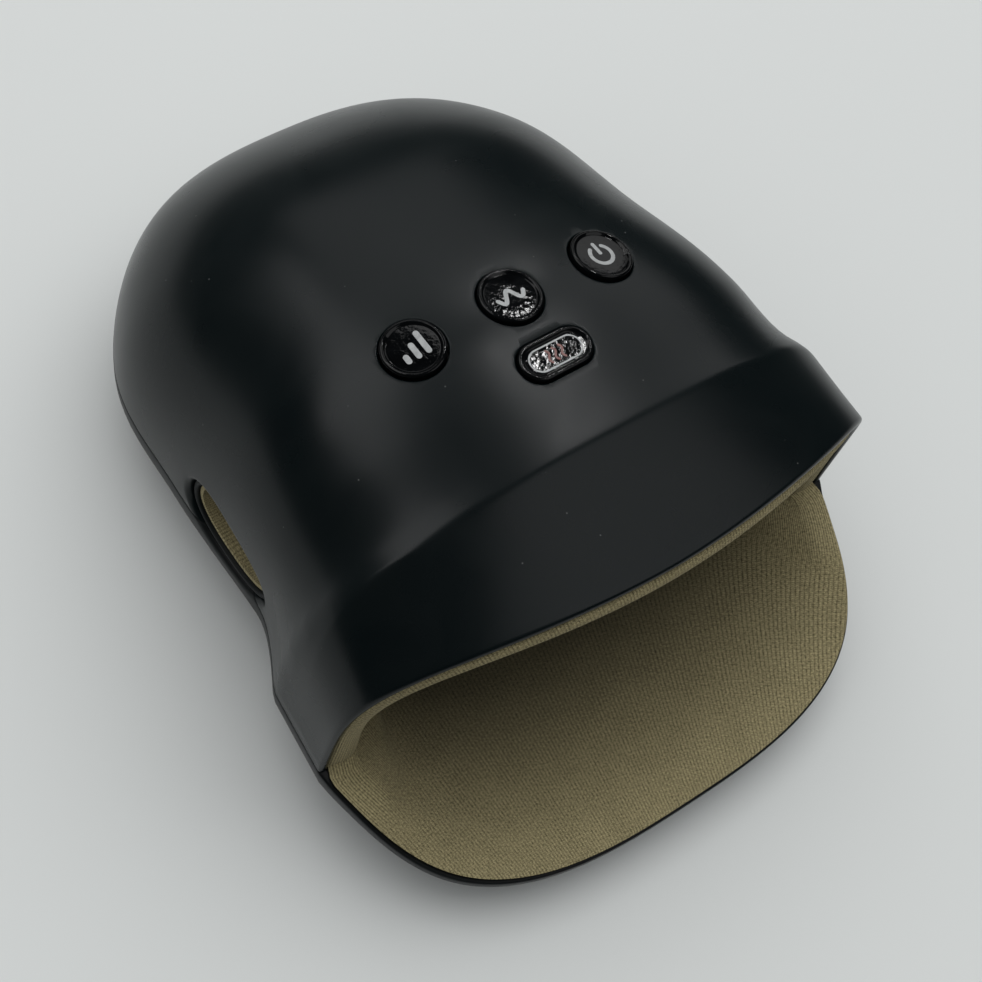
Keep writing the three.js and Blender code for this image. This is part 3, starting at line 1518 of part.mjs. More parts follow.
const housing = new THREE.Group();
housing.add(
  piece('top_cover', topCover(), plastic(black, 0.42)),
  piece('base_shell', baseShell(), plastic(black, 0.45)),
  piece('mouth_frame_top', mouthFrameTop(), plastic(innerBlack, 0.6)),
  piece('mouth_frame_base', mouthFrameBase(), plastic(innerBlack, 0.6)),
  piece('upper_tray', upperTray(), plastic(white, 0.6)),
  piece('lower_tray', lowerTray(), plastic(white, 0.6)),
);
massager.add(housing);

const lining = new THREE.Group();
lining.add(piece('fabric_sleeve', fabricSleeve(), plastic(khaki, 0.95)));
[['left', -1], ['right', 1]].forEach(([name, side]) => {
  lining.add(
    piece(`thumb_ring_${name}`, thumbRing(side), plastic(innerBlack, 0.5)),
    piece(`thumb_port_${name}`, thumbPort(side), plastic(khaki, 0.95)),
  );
});
lining.add(
  piece('upper_airbag', upperAirbag(), plastic(grey, 0.5)),
  piece('lower_airbag', lowerAirbag(), plastic(grey, 0.5)),
  piece('heating_film', heatingFilm(), plastic(amber, 0.4)),
);
massager.add(lining);

const controls = new THREE.Group();
Object.entries(buttons).forEach(([name, button]) => {
  const reach = stemReach(button);
  const geometry = name === 'heat' ? heatCap(reach) : roundCap(reach);
  const cap = piece(`cap_${name}`, geometry, plastic(glossBlack, 0.12));
  const frame = new THREE.Group();
  frame.position.copy(button.centre);
  frame.quaternion.copy(button.quaternion);
  frame.add(cap);
  controls.add(frame);
});
controls.add(piece('button_board', buttonBoard(), plastic(green, 0.5)));
massager.add(controls);

const works = new THREE.Group();
works.add(
  piece('main_board', mainBoard(), plastic(green, 0.5)),
  piece('pump_motor', pumpMotor(), metal(steel, 0.35)),
  piece('pump_head', pumpHead(), plastic(grey, 0.5)),
  piece('pump_rotor', pumpRotor(), metal(steel, 0.3)),
  piece('air_manifold', airManifold(), plastic(white, 0.5)),
  piece('hose_pump', pumpHose(), plastic(clear, 0.4)),
  piece('hose_upper', upperHose(), plastic(clear, 0.4)),
  piece('hose_lower', lowerHose(), plastic(clear, 0.4)),
  piece('charge_jack', chargeJack(), metal(steel, 0.35)),
);
[['left', -1], ['right', 1]].forEach(([name, side]) => {
  works.add(
    piece(`battery_cell_${name}`, cellGeometry(), plastic(blue, 0.4), side * cellOffset,
      atStation(cellStart), cellHeight),
    piece(`cell_clamp_${name}`, cellClamp(side), plastic(white, 0.6)),
  );
});
[['upper', -1], ['lower', 1]].forEach(([name, side]) => {
  works.add(
    piece(`valve_${name}`, valveBody(side), plastic(grey, 0.5)),
    piece(`plunger_${name}`, valvePlunger(side), metal(steel, 0.3)),
  );
});
massager.add(works);

const fasteners = new THREE.Group();
caseScrews.forEach(({ name, x, y, headTop }) => {
  const screw = screwGeometry(caseShankRadius, caseHeadRadius, caseHeadHeight, caseShankLength);
  fasteners.add(piece(`case_screw_${name}`, screw, metal(steel, 0.4), x, y, headTop - fitGap));
});
trayPosts.forEach(({ name, x, y }) => {
  const screw = screwGeometry(smallShankRadius, smallHeadRadius, smallHeadHeight, smallShankLength);
  fasteners.add(piece(`tray_screw_${name}`, screw, metal(steel, 0.4), x, y, upperTrayBottom - fitGap));
});
boardPosts.forEach(({ name, x, y }) => {
  const screw = screwGeometry(smallShankRadius, smallHeadRadius, smallHeadHeight, smallShankLength);
  const seat = buttonBoardTop - boardThickness - fitGap;
  fasteners.add(piece(`board_screw_${name}`, screw, metal(steel, 0.4), x, y, seat));
});
pads.forEach(({ name, x, y }) => {
  fasteners.add(piece(`foot_${name}`, padGeometry(), plastic(grey, 0.85), x, y, 0));
});
massager.add(fasteners);

export default massager;
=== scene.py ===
"""Looks of a cordless hand massager: fine surfaces, knit lining, finishes, light and camera."""

import logging
import math
from dataclasses import dataclass, field
from enum import Enum
from typing import Callable, Optional, Sequence, Union

import bmesh
import bpy
import numpy as np
from mathutils import Matrix, Vector
from mathutils.bvhtree import BVHTree
from mathutils.interpolate import poly_3d_calc


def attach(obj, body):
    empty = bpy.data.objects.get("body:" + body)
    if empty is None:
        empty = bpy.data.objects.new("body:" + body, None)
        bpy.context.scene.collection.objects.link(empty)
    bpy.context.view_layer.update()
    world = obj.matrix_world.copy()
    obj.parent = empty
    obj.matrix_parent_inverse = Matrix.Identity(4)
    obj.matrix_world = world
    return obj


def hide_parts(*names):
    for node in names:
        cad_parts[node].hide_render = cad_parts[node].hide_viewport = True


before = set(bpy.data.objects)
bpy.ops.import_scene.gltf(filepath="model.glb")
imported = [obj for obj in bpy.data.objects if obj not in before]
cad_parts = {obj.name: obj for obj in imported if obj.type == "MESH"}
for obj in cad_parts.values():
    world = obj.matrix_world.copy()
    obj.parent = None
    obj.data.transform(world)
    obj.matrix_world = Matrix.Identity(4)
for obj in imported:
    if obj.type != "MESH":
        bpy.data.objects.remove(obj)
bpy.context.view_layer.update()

LOG = logging.getLogger("hand_massager")
MM = 0.001
NODES: dict[str, bpy.types.Object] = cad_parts


class Body(str, Enum):
    """Bodies that pieces ride on."""

    HOUSING = "housing"
    LEVEL = "cap_level"
    MODE = "cap_mode"
    POWER = "cap_power"
    HEAT = "cap_heat"


class Side(Enum):
    """Left and right of the housing, seen from the mouth."""

    LEFT = -1
    RIGHT = 1

    @property
    def word(self) -> str:
        """Name of the side as the nodes spell it."""
        return self.name.lower()


# Curves of the housing


class MonotoneCurve:
    """Monotone cubic curve through a table, flat beyond its ends."""

    def __init__(self, places: Sequence[float], values: Sequence[float]) -> None:
        """Works out the slope at each place.

        Args:
            places: rising places of the table.
            values: value at each place.
        """
        self.places = np.array(places, float)
        self.values = np.array(values, float)
        steps = np.diff(self.places)
        slopes = np.diff(self.values) / steps
        tangents = np.zeros_like(self.values)
        for i in range(1, len(steps)):
            if slopes[i - 1] * slopes[i] > 0:
                before = 2 * steps[i] + steps[i - 1]
                after = steps[i] + 2 * steps[i - 1]
                tangents[i] = (before + after) / (before / slopes[i - 1] + after / slopes[i])
        tangents[0] = self._edge(steps[0], steps[1], slopes[0], slopes[1])
        tangents[-1] = self._edge(steps[-1], steps[-2], slopes[-1], slopes[-2])
        self.steps = steps
        self.tangents = tangents

    @staticmethod
    def _edge(h0: float, h1: float, d0: float, d1: float) -> float:
        """Slope at an end of the table."""
        slope = ((2 * h0 + h1) * d0 - h0 * d1) / (h0 + h1)
        if slope * d0 <= 0:
            return 0.0
        return 3 * d0 if d0 * d1 <= 0 and abs(slope) > 3 * abs(d0) else slope

    def __call__(self, place: np.ndarray) -> np.ndarray:
        """Value of the curve at each place."""
        x = np.clip(place, self.places[0], self.places[-1])
        i = np.clip(np.searchsorted(self.places, x, side="right") - 1, 0, len(self.steps) - 1)
        t = (x - self.places[i]) / self.steps[i]
        rise = self.values[i + 1] - self.values[i]
        a = self.tangents[i] * self.steps[i]
        b = self.tangents[i + 1] * self.steps[i]
        return self.values[i] + t * (a + t * (3 * rise - 2 * a - b + t * (a + b - 2 * rise)))


@dataclass(frozen=True)
class HousingForm:
    """Curves of the housing in millimetres; stations run from the mouth to the finger end."""

    length: float = 158.5
    reach: float = 52.1
    foot: float = 82.2
    flare: float = 79.9
    waist: float = 70.7
    middle: float = 72.5
    shoulder: float = 78.1
    width_shares: tuple[float, ...] = (0.149, 0.295, 0.533, 0.767, 1)
    swells: tuple[float, ...] = (0, -1.2, 10.1, 4.6, -0.5, -0.5)
    rim_height: float = 55.6
    crease_height: float = 68.6
    grip_height: float = 69.5
    back_height: float = 67.6
    finger_height: float = 68.9
    height_shares: tuple[float, ...] = (0, 0.17, 0.365, 0.579, 0.761, 1)
    seam_front: float = 29.6
    seam_rear: float = 26.9
    mouth_bow: float = 13.5
    bow_share: float = 0.6
    bow_power: float = 1.5
    crease_top: float = 27.0
    crease_side: float = 10.7
    crease_power: float = 0.7
    crease_softness: float = 0.45
    section_shares: tuple[float, ...] = (0, 0.187, 0.533, 1)
    width_powers: tuple[float, ...] = (3.74, 2.42, 2.77, 2.56)
    height_powers: tuple[float, ...] = (4.53, 3.86, 2.14, 2.6)
    closing_share: float = 0.33
    plan_power: float = 2.48
    back_power: float = 2.0
    wall: float = 2.4
    seam_gap: float = 0.35
    tongue_tip: float = 17.5
    tongue_power: float = 2.87
    tongue_tuck: float = 5.1
    tuck_share: float = 0.66
    ledge: float = 1.5
    lap_share: float = 0.12
    lap_inset: float = 0.95
    underside: float = 2.0
    base_centre: float = 52.0
    base_width_share: float = 0.62
    base_length_share: float = 0.92

    def __post_init__(self) -> None:
        """Builds the curves through the tables."""
        length = self.length
        widths = [self.flare, self.waist, self.middle, self.shoulder, self.shoulder]
        heights = [self.crease_height, self.crease_height, self.grip_height,
                   self.back_height, self.finger_height, self.finger_height]
        curves = {
            "_width": (self.width_shares, widths),
            "_swell": ((0, *self.width_shares), self.swells),
            "_height": (self.height_shares, heights),
            "_width_power": (self.section_shares, self.width_powers),
            "_height_power": (self.section_shares, self.height_powers),
        }
        for name, (shares, values) in curves.items():
            object.__setattr__(self, name, MonotoneCurve([s * length for s in shares], values))

    @property
    def mouth_y(self) -> float:
        """Place of the mouth plane on the Y axis."""
        return (self.reach - self.length) / 2

    def seam(self, station: np.ndarray) -> np.ndarray:
        """Height of the seam at each station."""
        share = np.clip(np.asarray(station) / self.length, 0, 1)
        return self.seam_front + (self.seam_rear - self.seam_front) * share

    def crease(self, turn: np.ndarray) -> np.ndarray:
        """Station of the crease behind the visor at each turn."""
        share = np.abs(np.sin(turn)) ** self.crease_power
        return self.crease_side + (self.crease_top - self.crease_side) * share

    def height(self, station: np.ndarray, turn: np.ndarray) -> np.ndarray:
        """Height of the crown above the seam, with a softened crease."""
        crease = self.crease(turn)
        slope = (self.crease_height - self.rim_height) / crease
        drop = self.crease_softness * np.logaddexp(0, (crease - station) / self.crease_softness)
        return self._height(station) - slope * drop

    def half_width(self, station: np.ndarray) -> np.ndarray:
        """Half width at each station, with the straight flare at the mouth."""
        flare_at = self.width_shares[0] * self.length
        straight = self.foot + (self.flare - self.foot) * np.maximum(station, 0) / flare_at
        return np.where(station >= flare_at, self._width(station), straight)

    def skin(self, station: np.ndarray, turn: np.ndarray, inset: float = 0.0) -> np.ndarray:
        """Points of the cover's skin.

        Args:
            station: distance from the mouth plane.
            turn: 0 at the left seam, over the top to pi at the right seam.
            inset: distance inside the outer skin.

        Returns:
            Points in millimetres, one row of three for each place.
        """
        station, turn = np.broadcast_arrays(np.asarray(station, float), np.asarray(turn, float))
        end, start = self.length - inset, self.closing_share * self.length
        t = np.clip((station - start) / (end - start), 0, 1)
        wide = (1 - t ** self.plan_power) ** (1 / self.plan_power)
        tall = (1 - t ** self.back_power) ** (1 / self.back_power)
        c = np.cos(turn)
        out = np.abs(c) ** (2 / self._width_power(station))
        lift = np.abs(np.sin(turn)) ** (2 / self._height_power(station))
        bow = self.mouth_bow * np.clip(1 - station / (self.bow_share * self.length), 0, 1) ** self.bow_power
        spread = self.half_width(station) + self._swell(station) * lift - inset
        return np.stack([
            -np.sign(c) * spread * wide * out,
            self.mouth_y + station - bow * (1 - out * out),
            self.seam(station) + (self.height(station, turn) - inset) * tall * lift,
        ], -1)

    def turns(self, count: int) -> np.ndarray:
        """Turns spaced evenly along the arch, averaged over three sections.

        Args:
            count: number of steps from seam to seam.

        Returns:
            count + 1 turns from 0 to pi.
        """
        fine = np.linspace(0, math.pi, 1201)
        mean = np.zeros_like(fine)
        for station in (2.0, 0.4 * self.length, 0.75 * self.length):
            points = self.skin(station, fine)
            along = np.concatenate([[0], np.cumsum(np.linalg.norm(np.diff(points, axis=0), axis=1))])
            mean += along / along[-1] / 3
        mean = (mean + 1 - mean[::-1]) / 2
        return np.interp(np.linspace(0, 1, count + 1), mean, fine)

    def ahead(self, turn: np.ndarray) -> np.ndarray:
        """Share of the tongue's reach that its outline has covered at each turn."""
        return np.abs(np.sin(turn)) ** (2 / self.tongue_power)

    @staticmethod
    def settled(ahead: np.ndarray, share: float) -> np.ndarray:
        """Blend that rises from 0 at the feet and stays at 1 beyond a share."""
        return 1 - (1 - np.clip(ahead / share, 0, 1)) ** 2

    def lap(self, turn: np.ndarray) -> np.ndarray:
        """Share of the cloth's lap over the tongue's rim, 0 at the feet."""
        return self.settled(self.ahead(turn), self.lap_share)

    def tongue(self, turn: np.ndarray, inset: Union[float, np.ndarray] = 0.0) -> np.ndarray:
        """Outline of the tongue from the right foot at 0 to the left foot at pi."""
        c = np.cos(turn)
        ahead = self.ahead(turn)
        drop = (self.seam_front - self.tongue_tip) * ahead
        wide = self.foot - self.tongue_tuck * self.settled(ahead, self.tuck_share) - inset
        return np.stack([
            np.sign(c) * wide * np.abs(c) ** (2 / self.tongue_power),
            self.mouth_y - ahead * (self.reach - inset),
            self.seam_front - drop - self.seam_gap,
        ], -1)

    def bowl(self, rim: np.ndarray, dip: float, depth: float) -> np.ndarray:
        """Points of the base below rim points.

        Args:
            rim: points of the rim.
            dip: 0 at the rim to pi / 2 underneath.
            depth: distance under the base's outer surface.

        Returns:
            One point for each rim point.
        """
        centre_y = self.mouth_y + self.base_centre
        inward = np.stack([
            -rim[:, 0] * (1 - self.base_width_share),
            (centre_y - rim[:, 1]) * (1 - self.base_length_share),
        ], -1)
        inset = np.maximum(np.linalg.norm(inward, axis=1), 1e-9)
        drop = rim[:, 2] - self.underside
        c, s = math.cos(dip), math.sin(dip)
        size = np.hypot(drop * c, inset * s)
        points = np.empty_like(rim)
        points[:, :2] = rim[:, :2] + inward * (1 - c) + inward * (depth * drop * c / (size * inset))[:, None]
        points[:, 2] = rim[:, 2] - drop * s + depth * inset * s / size
        return points


FORM = HousingForm()


# Mesh tools


def mesh_object(name: str, points: np.ndarray, faces: Sequence[Sequence[int]]) -> bpy.types.Object:
    """Makes an object, linked to the scene, from points in millimetres and the faces' vertex numbers."""
    mesh = bpy.data.meshes.new(name)
    mesh.from_pydata((np.asarray(points, float) * MM).tolist(), [], [tuple(map(int, f)) for f in faces])
    mesh.update()
    piece = bpy.data.objects.new(name, mesh)
    bpy.context.scene.collection.objects.link(piece)
    return piece


def grid_faces(rows: int, columns: int, closed: bool = False) -> list[tuple[int, ...]]:
    """Quads of a grid of rows by columns points; closed joins the last column to the first."""
    across = columns if closed else columns - 1
    return [
        (r * columns + i, r * columns + (i + 1) % columns,
         (r + 1) * columns + (i + 1) % columns, (r + 1) * columns + i)
        for r in range(rows - 1) for i in range(across)
    ]


def ring_solid(name: str, rings: Sequence[np.ndarray]) -> bpy.types.Object:
    """Closed solid through rings of points, with a flat face at each end."""
    count = len(rings[0])
    faces: list[Sequence[int]] = list(grid_faces(len(rings), count, closed=True))
    faces.append(list(range(count))[::-1])
    faces.append([(len(rings) - 1) * count + i for i in range(count)])
    piece = mesh_object(name, np.concatenate(rings), faces)
    face_outwards(piece)
    return piece


def face_outwards(piece: bpy.types.Object, merge: float = 1e-7) -> None:
    """Turns a closed surface's faces outwards, and merges its doubles unless merge is 0."""
    work = bmesh.new()
    work.from_mesh(piece.data)
    if merge:
        bmesh.ops.remove_doubles(work, verts=work.verts, dist=merge)
        bmesh.ops.dissolve_degenerate(work, edges=work.edges, dist=merge)
    bmesh.ops.recalc_face_normals(work, faces=work.faces)
    if work.calc_volume(signed=True) < 0:
        bmesh.ops.reverse_faces(work, faces=work.faces)
    work.to_mesh(piece.data)
    work.free()
    piece.data.update()


def settle(piece: bpy.types.Object) -> bpy.types.Object:
    """Applies the modifiers of a piece, with its place, to its mesh."""
    depsgraph = bpy.context.evaluated_depsgraph_get()
    depsgraph.update()
    mesh = bpy.data.meshes.new_from_object(piece.evaluated_get(depsgraph), depsgraph=depsgraph)
    piece.modifiers.clear()
    old = piece.data
    piece.data = mesh
    mesh.name = piece.name
    mesh.transform(piece.matrix_world)
    piece.matrix_world = Matrix.Identity(4)
    bpy.data.meshes.remove(old)
    return piece


def round_edges(piece: bpy.types.Object, edges: set[tuple[int, int]], width: float,
                segments: int) -> bpy.types.Object:
    """Faces a closed piece outwards and bevels some of its edges.

    Args:
        piece: closed piece.
        edges: vertex numbers of each edge, the lower one first.
        width: width of the bevel in millimetres.
        segments: steps across the bevel.

    Returns:
        The piece.
    """
    weights = piece.data.attributes.new("bevel_weight_edge", "FLOAT", "EDGE")
    for edge in piece.data.edges:
        if tuple(sorted(edge.vertices)) in edges:
            weights.data[edge.index].value = 1.0
    face_outwards(piece, merge=0.0)
    bevel = piece.modifiers.new("rounded", "BEVEL")
    bevel.limit_method = "WEIGHT"
    bevel.width = width * MM
    bevel.segments = segments
    return settle(piece)


def carve(target: bpy.types.Object, tool: bpy.types.Object, operation: str = "DIFFERENCE") -> None:
    """Cuts a tool from a target, joins them or keeps what they share, and uses the tool up."""
    modifier = target.modifiers.new("carve", "BOOLEAN")
    modifier.operation = operation
    modifier.solver = "EXACT"
    modifier.object = tool
    settle(target)
    bpy.data.objects.remove(tool)


def join(name: str, pieces: Sequence[bpy.types.Object]) -> bpy.types.Object:
    """Joins pieces into the first and names it."""
    with bpy.context.temp_override(
        active_object=pieces[0], selected_editable_objects=list(pieces), object=pieces[0],
    ):
        bpy.ops.object.join()
    pieces[0].name = name
    pieces[0].data.name = name
    return pieces[0]


def shade(piece: bpy.types.Object, angle: float = 35.0) -> None:
    """Smooth shading with sharp edges above an angle in degrees."""
    mesh = piece.data
    mesh.polygons.foreach_set("use_smooth", [True] * len(mesh.polygons))
    mesh.set_sharp_from_angle(angle=math.radians(angle))
    mesh.update()


def bar(x: float, y: float, low: float, high: float, radius: float, steps: int = 32) -> bpy.types.Object:
    """Round bar along Z, as a tool for cuts."""
    angle = np.linspace(0, 2 * math.pi, steps, endpoint=False)
    ring = np.stack([x + radius * np.cos(angle), y + radius * np.sin(angle), np.zeros(steps)], -1)
    return ring_solid("bar", [ring + (0, 0, low), ring + (0, 0, high)])


def oval(half_length: float, half_width: float, power: float, steps: int,
         straight: float = 0.0) -> np.ndarray:
    """Outline of a superellipse, drawn apart by a straight middle."""
    angle = 2 * math.pi * (np.arange(steps) + 0.5) / steps
    c, s = np.cos(angle), np.sin(angle)
    return np.stack([
        np.sign(c) * (straight + half_length * np.abs(c) ** (2 / power)),
        np.sign(s) * half_width * np.abs(s) ** (2 / power),
    ], -1)


class SmoothSkin:
    """Open surface that answers rays and gives smooth normals."""

    def __init__(self, points: np.ndarray, closed: bool = False, flip: bool = False) -> None:
        """Builds the surface from a grid of points.

        Args:
            points: rows by columns by three, in millimetres.
            closed: whether the last column joins the first.
            flip: whether the faces are turned round.
        """
        rows, columns, _ = points.shape
        faces = grid_faces(rows, columns, closed)
        if flip:
            faces = [face[::-1] for face in faces]
        helper = mesh_object("skin_helper", points.reshape(-1, 3), faces)
        mesh = helper.data
        self.faces = faces
        self.vertices = [v.co.copy() for v in mesh.vertices]
        self.normals = [n.vector.copy() for n in mesh.vertex_normals]
        self.tree = BVHTree.FromPolygons(self.vertices, faces)
        bpy.data.objects.remove(helper)
        bpy.data.meshes.remove(mesh)

    def normal(self, place: Vector, reach: float) -> Optional[Vector]:
        """Smooth normal at the nearest point, or None beyond reach."""
        spot, _, index, distance = self.tree.find_nearest(place, reach)
        if spot is None or distance > reach:
            return None
        face = self.faces[index]
        weights = poly_3d_calc([self.vertices[i] for i in face], spot)
        return sum((self.normals[i] * w for i, w in zip(face, weights)), Vector()).normalized()

    def hit(self, origin: Vector, direction: Vector) -> Optional[Vector]:
        """First point of the surface along a ray."""
        return self.tree.ray_cast(origin, direction)[0]


def smooth_over(piece: bpy.types.Object, skin: SmoothSkin, angle: float = 35.0, reach: float = 2e-5) -> None:
    """Gives the faces on a skin its smooth normals, also beside cuts.

    Args:
        piece: piece whose normals are set.
        skin: surface that the piece was cut from.
        angle: edges above this angle stay sharp.
        reach: largest distance from the skin in metres.
    """
    mesh = piece.data
    shade(piece, angle)
    found = [skin.normal(v.co, reach) for v in mesh.vertices]
    on_skin = [
        all(found[i] is not None for i in poly.vertices)
        and found[poly.vertices[0]].dot(poly.normal) > 0.8
        for poly in mesh.polygons
    ]
    sides: dict[tuple[int, int], int] = {}
    for poly, on in zip(mesh.polygons, on_skin):
        for key in poly.edge_keys:
            sides[key] = sides.get(key, 0) | (1 if on else 2)
    for edge in mesh.edges:
        if sides.get(tuple(edge.key)) == 3:
            edge.use_edge_sharp = True
    mesh.update()
    normals = [Vector(n.vector) for n in mesh.corner_normals]
    for poly, on in zip(mesh.polygons, on_skin):
        if on:
            for loop in poly.loop_indices:
                normals[loop] = found[mesh.loops[loop].vertex_index]
    mesh.normals_split_custom_set([tuple(n) for n in normals])
    mesh.update()


# Node tools


class Tree:
    """Thin helper for adding and joining nodes in any node tree."""

    def __init__(self, tree: bpy.types.NodeTree) -> None:
        """Keeps the tree that nodes are added to."""
        self.tree = tree

    def add(self, kind: str, feeds: Optional[dict[Union[str, int], object]] = None,
            **settings: object) -> bpy.types.Node:
        """Adds a node, sets its properties and feeds its inputs, by name or number."""
        node = self.tree.nodes.new(kind)
        for name, value in settings.items():
            setattr(node, name, value)
        for socket, value in (feeds or {}).items():
            self.put(value, node.inputs[socket])
        return node

    def put(self, value: object, socket: bpy.types.NodeSocket) -> None:
        """Joins a socket to an input, or sets its value."""
        if isinstance(value, bpy.types.NodeSocket):
            self.tree.links.new(value, socket)
        else:
            socket.default_value = value

    def math(self, operation: str, *values: object) -> bpy.types.NodeSocket:
        """Adds a Math node and returns its output."""
        return self.add("ShaderNodeMath", dict(enumerate(values)), operation=operation).outputs[0]

    def mix(self, factor: object, a: object, b: object) -> bpy.types.NodeSocket:
        """Adds a colour mix and returns its output."""
        return self.add("ShaderNodeMix", {0: factor, 6: a, 7: b}, data_type="RGBA").outputs[2]

    def ramp(self, value: object, low: float, high: float, start: float = 0.0,
             end: float = 1.0) -> bpy.types.NodeSocket:
        """Maps a value from one range to another, clamped."""
        feeds = dict(enumerate((value, low, high, start, end)))
        return self.add("ShaderNodeMapRange", feeds, clamp=True).outputs[0]

    def noise(self, place: object, scale: object, detail: float = 2.0, rough: float = 0.5,
              distortion: float = 0.0) -> bpy.types.NodeSocket:
        """Adds a Noise texture and returns its value."""
        return self.add("ShaderNodeTexNoise", {
            "Vector": place, "Scale": scale, "Detail": detail, "Roughness": rough, "Distortion": distortion,
        }).outputs[0]


class GroupBuilder:
    """Builds a node group with named inputs and outputs."""

    def __init__(self, name: str, kind: str, inputs: dict[str, tuple], outputs: dict[str, tuple]) -> None:
        """Starts a group.

        Args:
            name: name of the group.
            kind: ShaderNodeTree or GeometryNodeTree.
            inputs: kind of socket, and its value if it has one, by the input's name.
            outputs: kind of socket by the output's name.
        """
        self.group = bpy.data.node_groups.new(name, kind)
        self.tree = Tree(self.group)
        for way, sockets in (("INPUT", inputs), ("OUTPUT", outputs)):
            for label, (socket, *value) in sockets.items():
                item = self.group.interface.new_socket(
                    name=label, in_out=way, socket_type=f"NodeSocket{socket}")
                if value:
                    item.default_value = value[0]
        self.given = self.tree.add("NodeGroupInput").outputs

    def finish(self, **outputs: bpy.types.NodeSocket) -> bpy.types.NodeTree:
        """Joins the outputs, by name with spaces as underscores, and returns the group."""
        self.tree.add("NodeGroupOutput", {name.replace("_", " "): out for name, out in outputs.items()})
        return self.group


def use_group(tree: Tree, group: bpy.types.NodeTree, **values: object) -> bpy.types.NodeOutputs:
    """Places a shader group and sets its inputs, by name with spaces as underscores."""
    feeds = {name.replace("_", " "): value for name, value in values.items()}
    return tree.add("ShaderNodeGroup", feeds, node_tree=group).outputs


# Shared effects


def build_grain() -> bpy.types.NodeTree:
    """Fine moulded grain with soft handling marks: gives Height and Smudge."""
    build = GroupBuilder("moulded_grain", "ShaderNodeTree", {
        "Place": ("Vector",), "Grain Scale": ("Float", 2600.0), "Mark Scale": ("Float", 38.0),
    }, {"Height": ("Float",), "Smudge": ("Float",)})
    tree, given = build.tree, build.given
    fine = tree.noise(given["Place"], given["Grain Scale"], 3.0)
    wide = tree.noise(given["Place"], given["Mark Scale"], 4.0, distortion=0.6)
    return build.finish(Height=fine, Smudge=tree.ramp(wide, 0.35, 0.7))


def build_dust() -> bpy.types.NodeTree:
    """Sparse pale specks of dust: gives Mask."""
    build = GroupBuilder("dust_specks", "ShaderNodeTree", {
        "Place": ("Vector",), "Scale": ("Float", 420.0), "Amount": ("Float", 0.08),
    }, {"Mask": ("Float",)})
    tree, given = build.tree, build.given
    feeds = {"Vector": given["Place"], "Scale": given["Scale"]}
    cells = tree.add("ShaderNodeTexVoronoi", feeds, feature="F1")
    near = tree.ramp(cells.outputs["Distance"], 0.03, 0.1, 1.0, 0.0)
    pick = tree.add("ShaderNodeSeparateColor", {0: cells.outputs["Color"]})
    chosen = tree.math("LESS_THAN", pick.outputs[0], given["Amount"])
    return build.finish(Mask=tree.math("MULTIPLY", near, chosen))


def build_knit() -> bpy.types.NodeTree:
    """Fine rib knit in millimetres: ribs along V, or along the hem where the cloth is gathered; its Tone
    carries painted shade in the furrows.
    """
    build = GroupBuilder("rib_knit", "ShaderNodeTree", {
        "Place": ("Vector",), "Along": ("Float",), "Gather": ("Float",), "Rib": ("Float", 1.0),
        "Stitch": ("Float", 0.62),
    }, {"Height": ("Float",), "Tone": ("Float",)})
    tree, given = build.tree, build.given
    split = tree.add("ShaderNodeSeparateXYZ", {0: given["Place"]})
    wander = tree.noise(given["Place"], 0.35, 2.0)
    u = tree.math("ADD", tree.math("DIVIDE", split.outputs[0], given["Rib"]),
                  tree.math("MULTIPLY", wander, 0.3))
    v = tree.math("DIVIDE", split.outputs[1], given["Stitch"])
    course = tree.math("DIVIDE", given["Along"], tree.math("MULTIPLY", given["Rib"], 0.78))

    def wave(place: bpy.types.NodeSocket) -> bpy.types.NodeSocket:
        """One arch for each step of the place."""
        return tree.math("ABSOLUTE", tree.math("SINE", tree.math("MULTIPLY", place, math.pi)))

    rib, row = wave(u), wave(course)
    stitch = wave(tree.math("ADD", v, tree.math("MULTIPLY", rib, 0.55)))
    plain = tree.math("MULTIPLY", tree.math("POWER", rib, 0.42),
                      tree.math("ADD", tree.math("MULTIPLY", stitch, 0.5), 0.5))
    kept = tree.math("MULTIPLY", plain, tree.math("SUBTRACT", 1.0, given["Gather"]))
    gathered = tree.math("MULTIPLY", tree.math("POWER", row, 0.7), given["Gather"])
    height = tree.math("ADD", kept, gathered)
    fibre = tree.math("MULTIPLY", tree.noise(given["Place"], 1.7, 2.0, 0.7), 0.95)
    mottle = tree.math("MULTIPLY", tree.noise(given["Place"], 0.12, 3.0), 0.12)
    # Tone rises with rib and pleat height: painted shade in the furrows and painted light on the crowns; the
    # fibre noise and mottle are the yarn's own heather
    tone = tree.math("ADD", tree.math("MULTIPLY", height, 0.36), tree.math("ADD", fibre, mottle))
    return build.finish(Height=height, Tone=tone)


class Effects:
    """Shader groups that several finishes share, built once."""

    def __init__(self) -> None:
        """Builds the groups."""
        self.grain = build_grain()
        self.dust = build_dust()
        self.knit = build_knit()


# Finishes

Colour = tuple[float, float, float]


def rgba(colour: Colour) -> tuple[float, float, float, float]:
    """Colour with full cover."""
    return (*colour, 1.0)


@dataclass(frozen=True)
class Finish:
    """Base of the finishes: a name and the record's slot that it belongs to."""

    name: str
    slot: str

    def start(self) -> tuple[bpy.types.Material, Tree, bpy.types.Node]:
        """Makes the material with its Principled BSDF."""
        material = bpy.data.materials.new(self.name)
        material.use_nodes = True
        shader = material.node_tree.nodes["Principled BSDF"]
        return material, Tree(material.node_tree), shader

    @staticmethod
    def place(tree: Tree) -> bpy.types.NodeSocket:
        """Object coordinates."""
        return tree.add("ShaderNodeTexCoord").outputs["Object"]

    @staticmethod
    def bump(tree: Tree, shader: bpy.types.Node, height: object, strength: float, distance: float) -> None:
        """Feeds a height to the shader's normal."""
        node = tree.add("ShaderNodeBump", {"Strength": strength, "Distance": distance, "Height": height})
        tree.put(node.outputs[0], shader.inputs["Normal"])


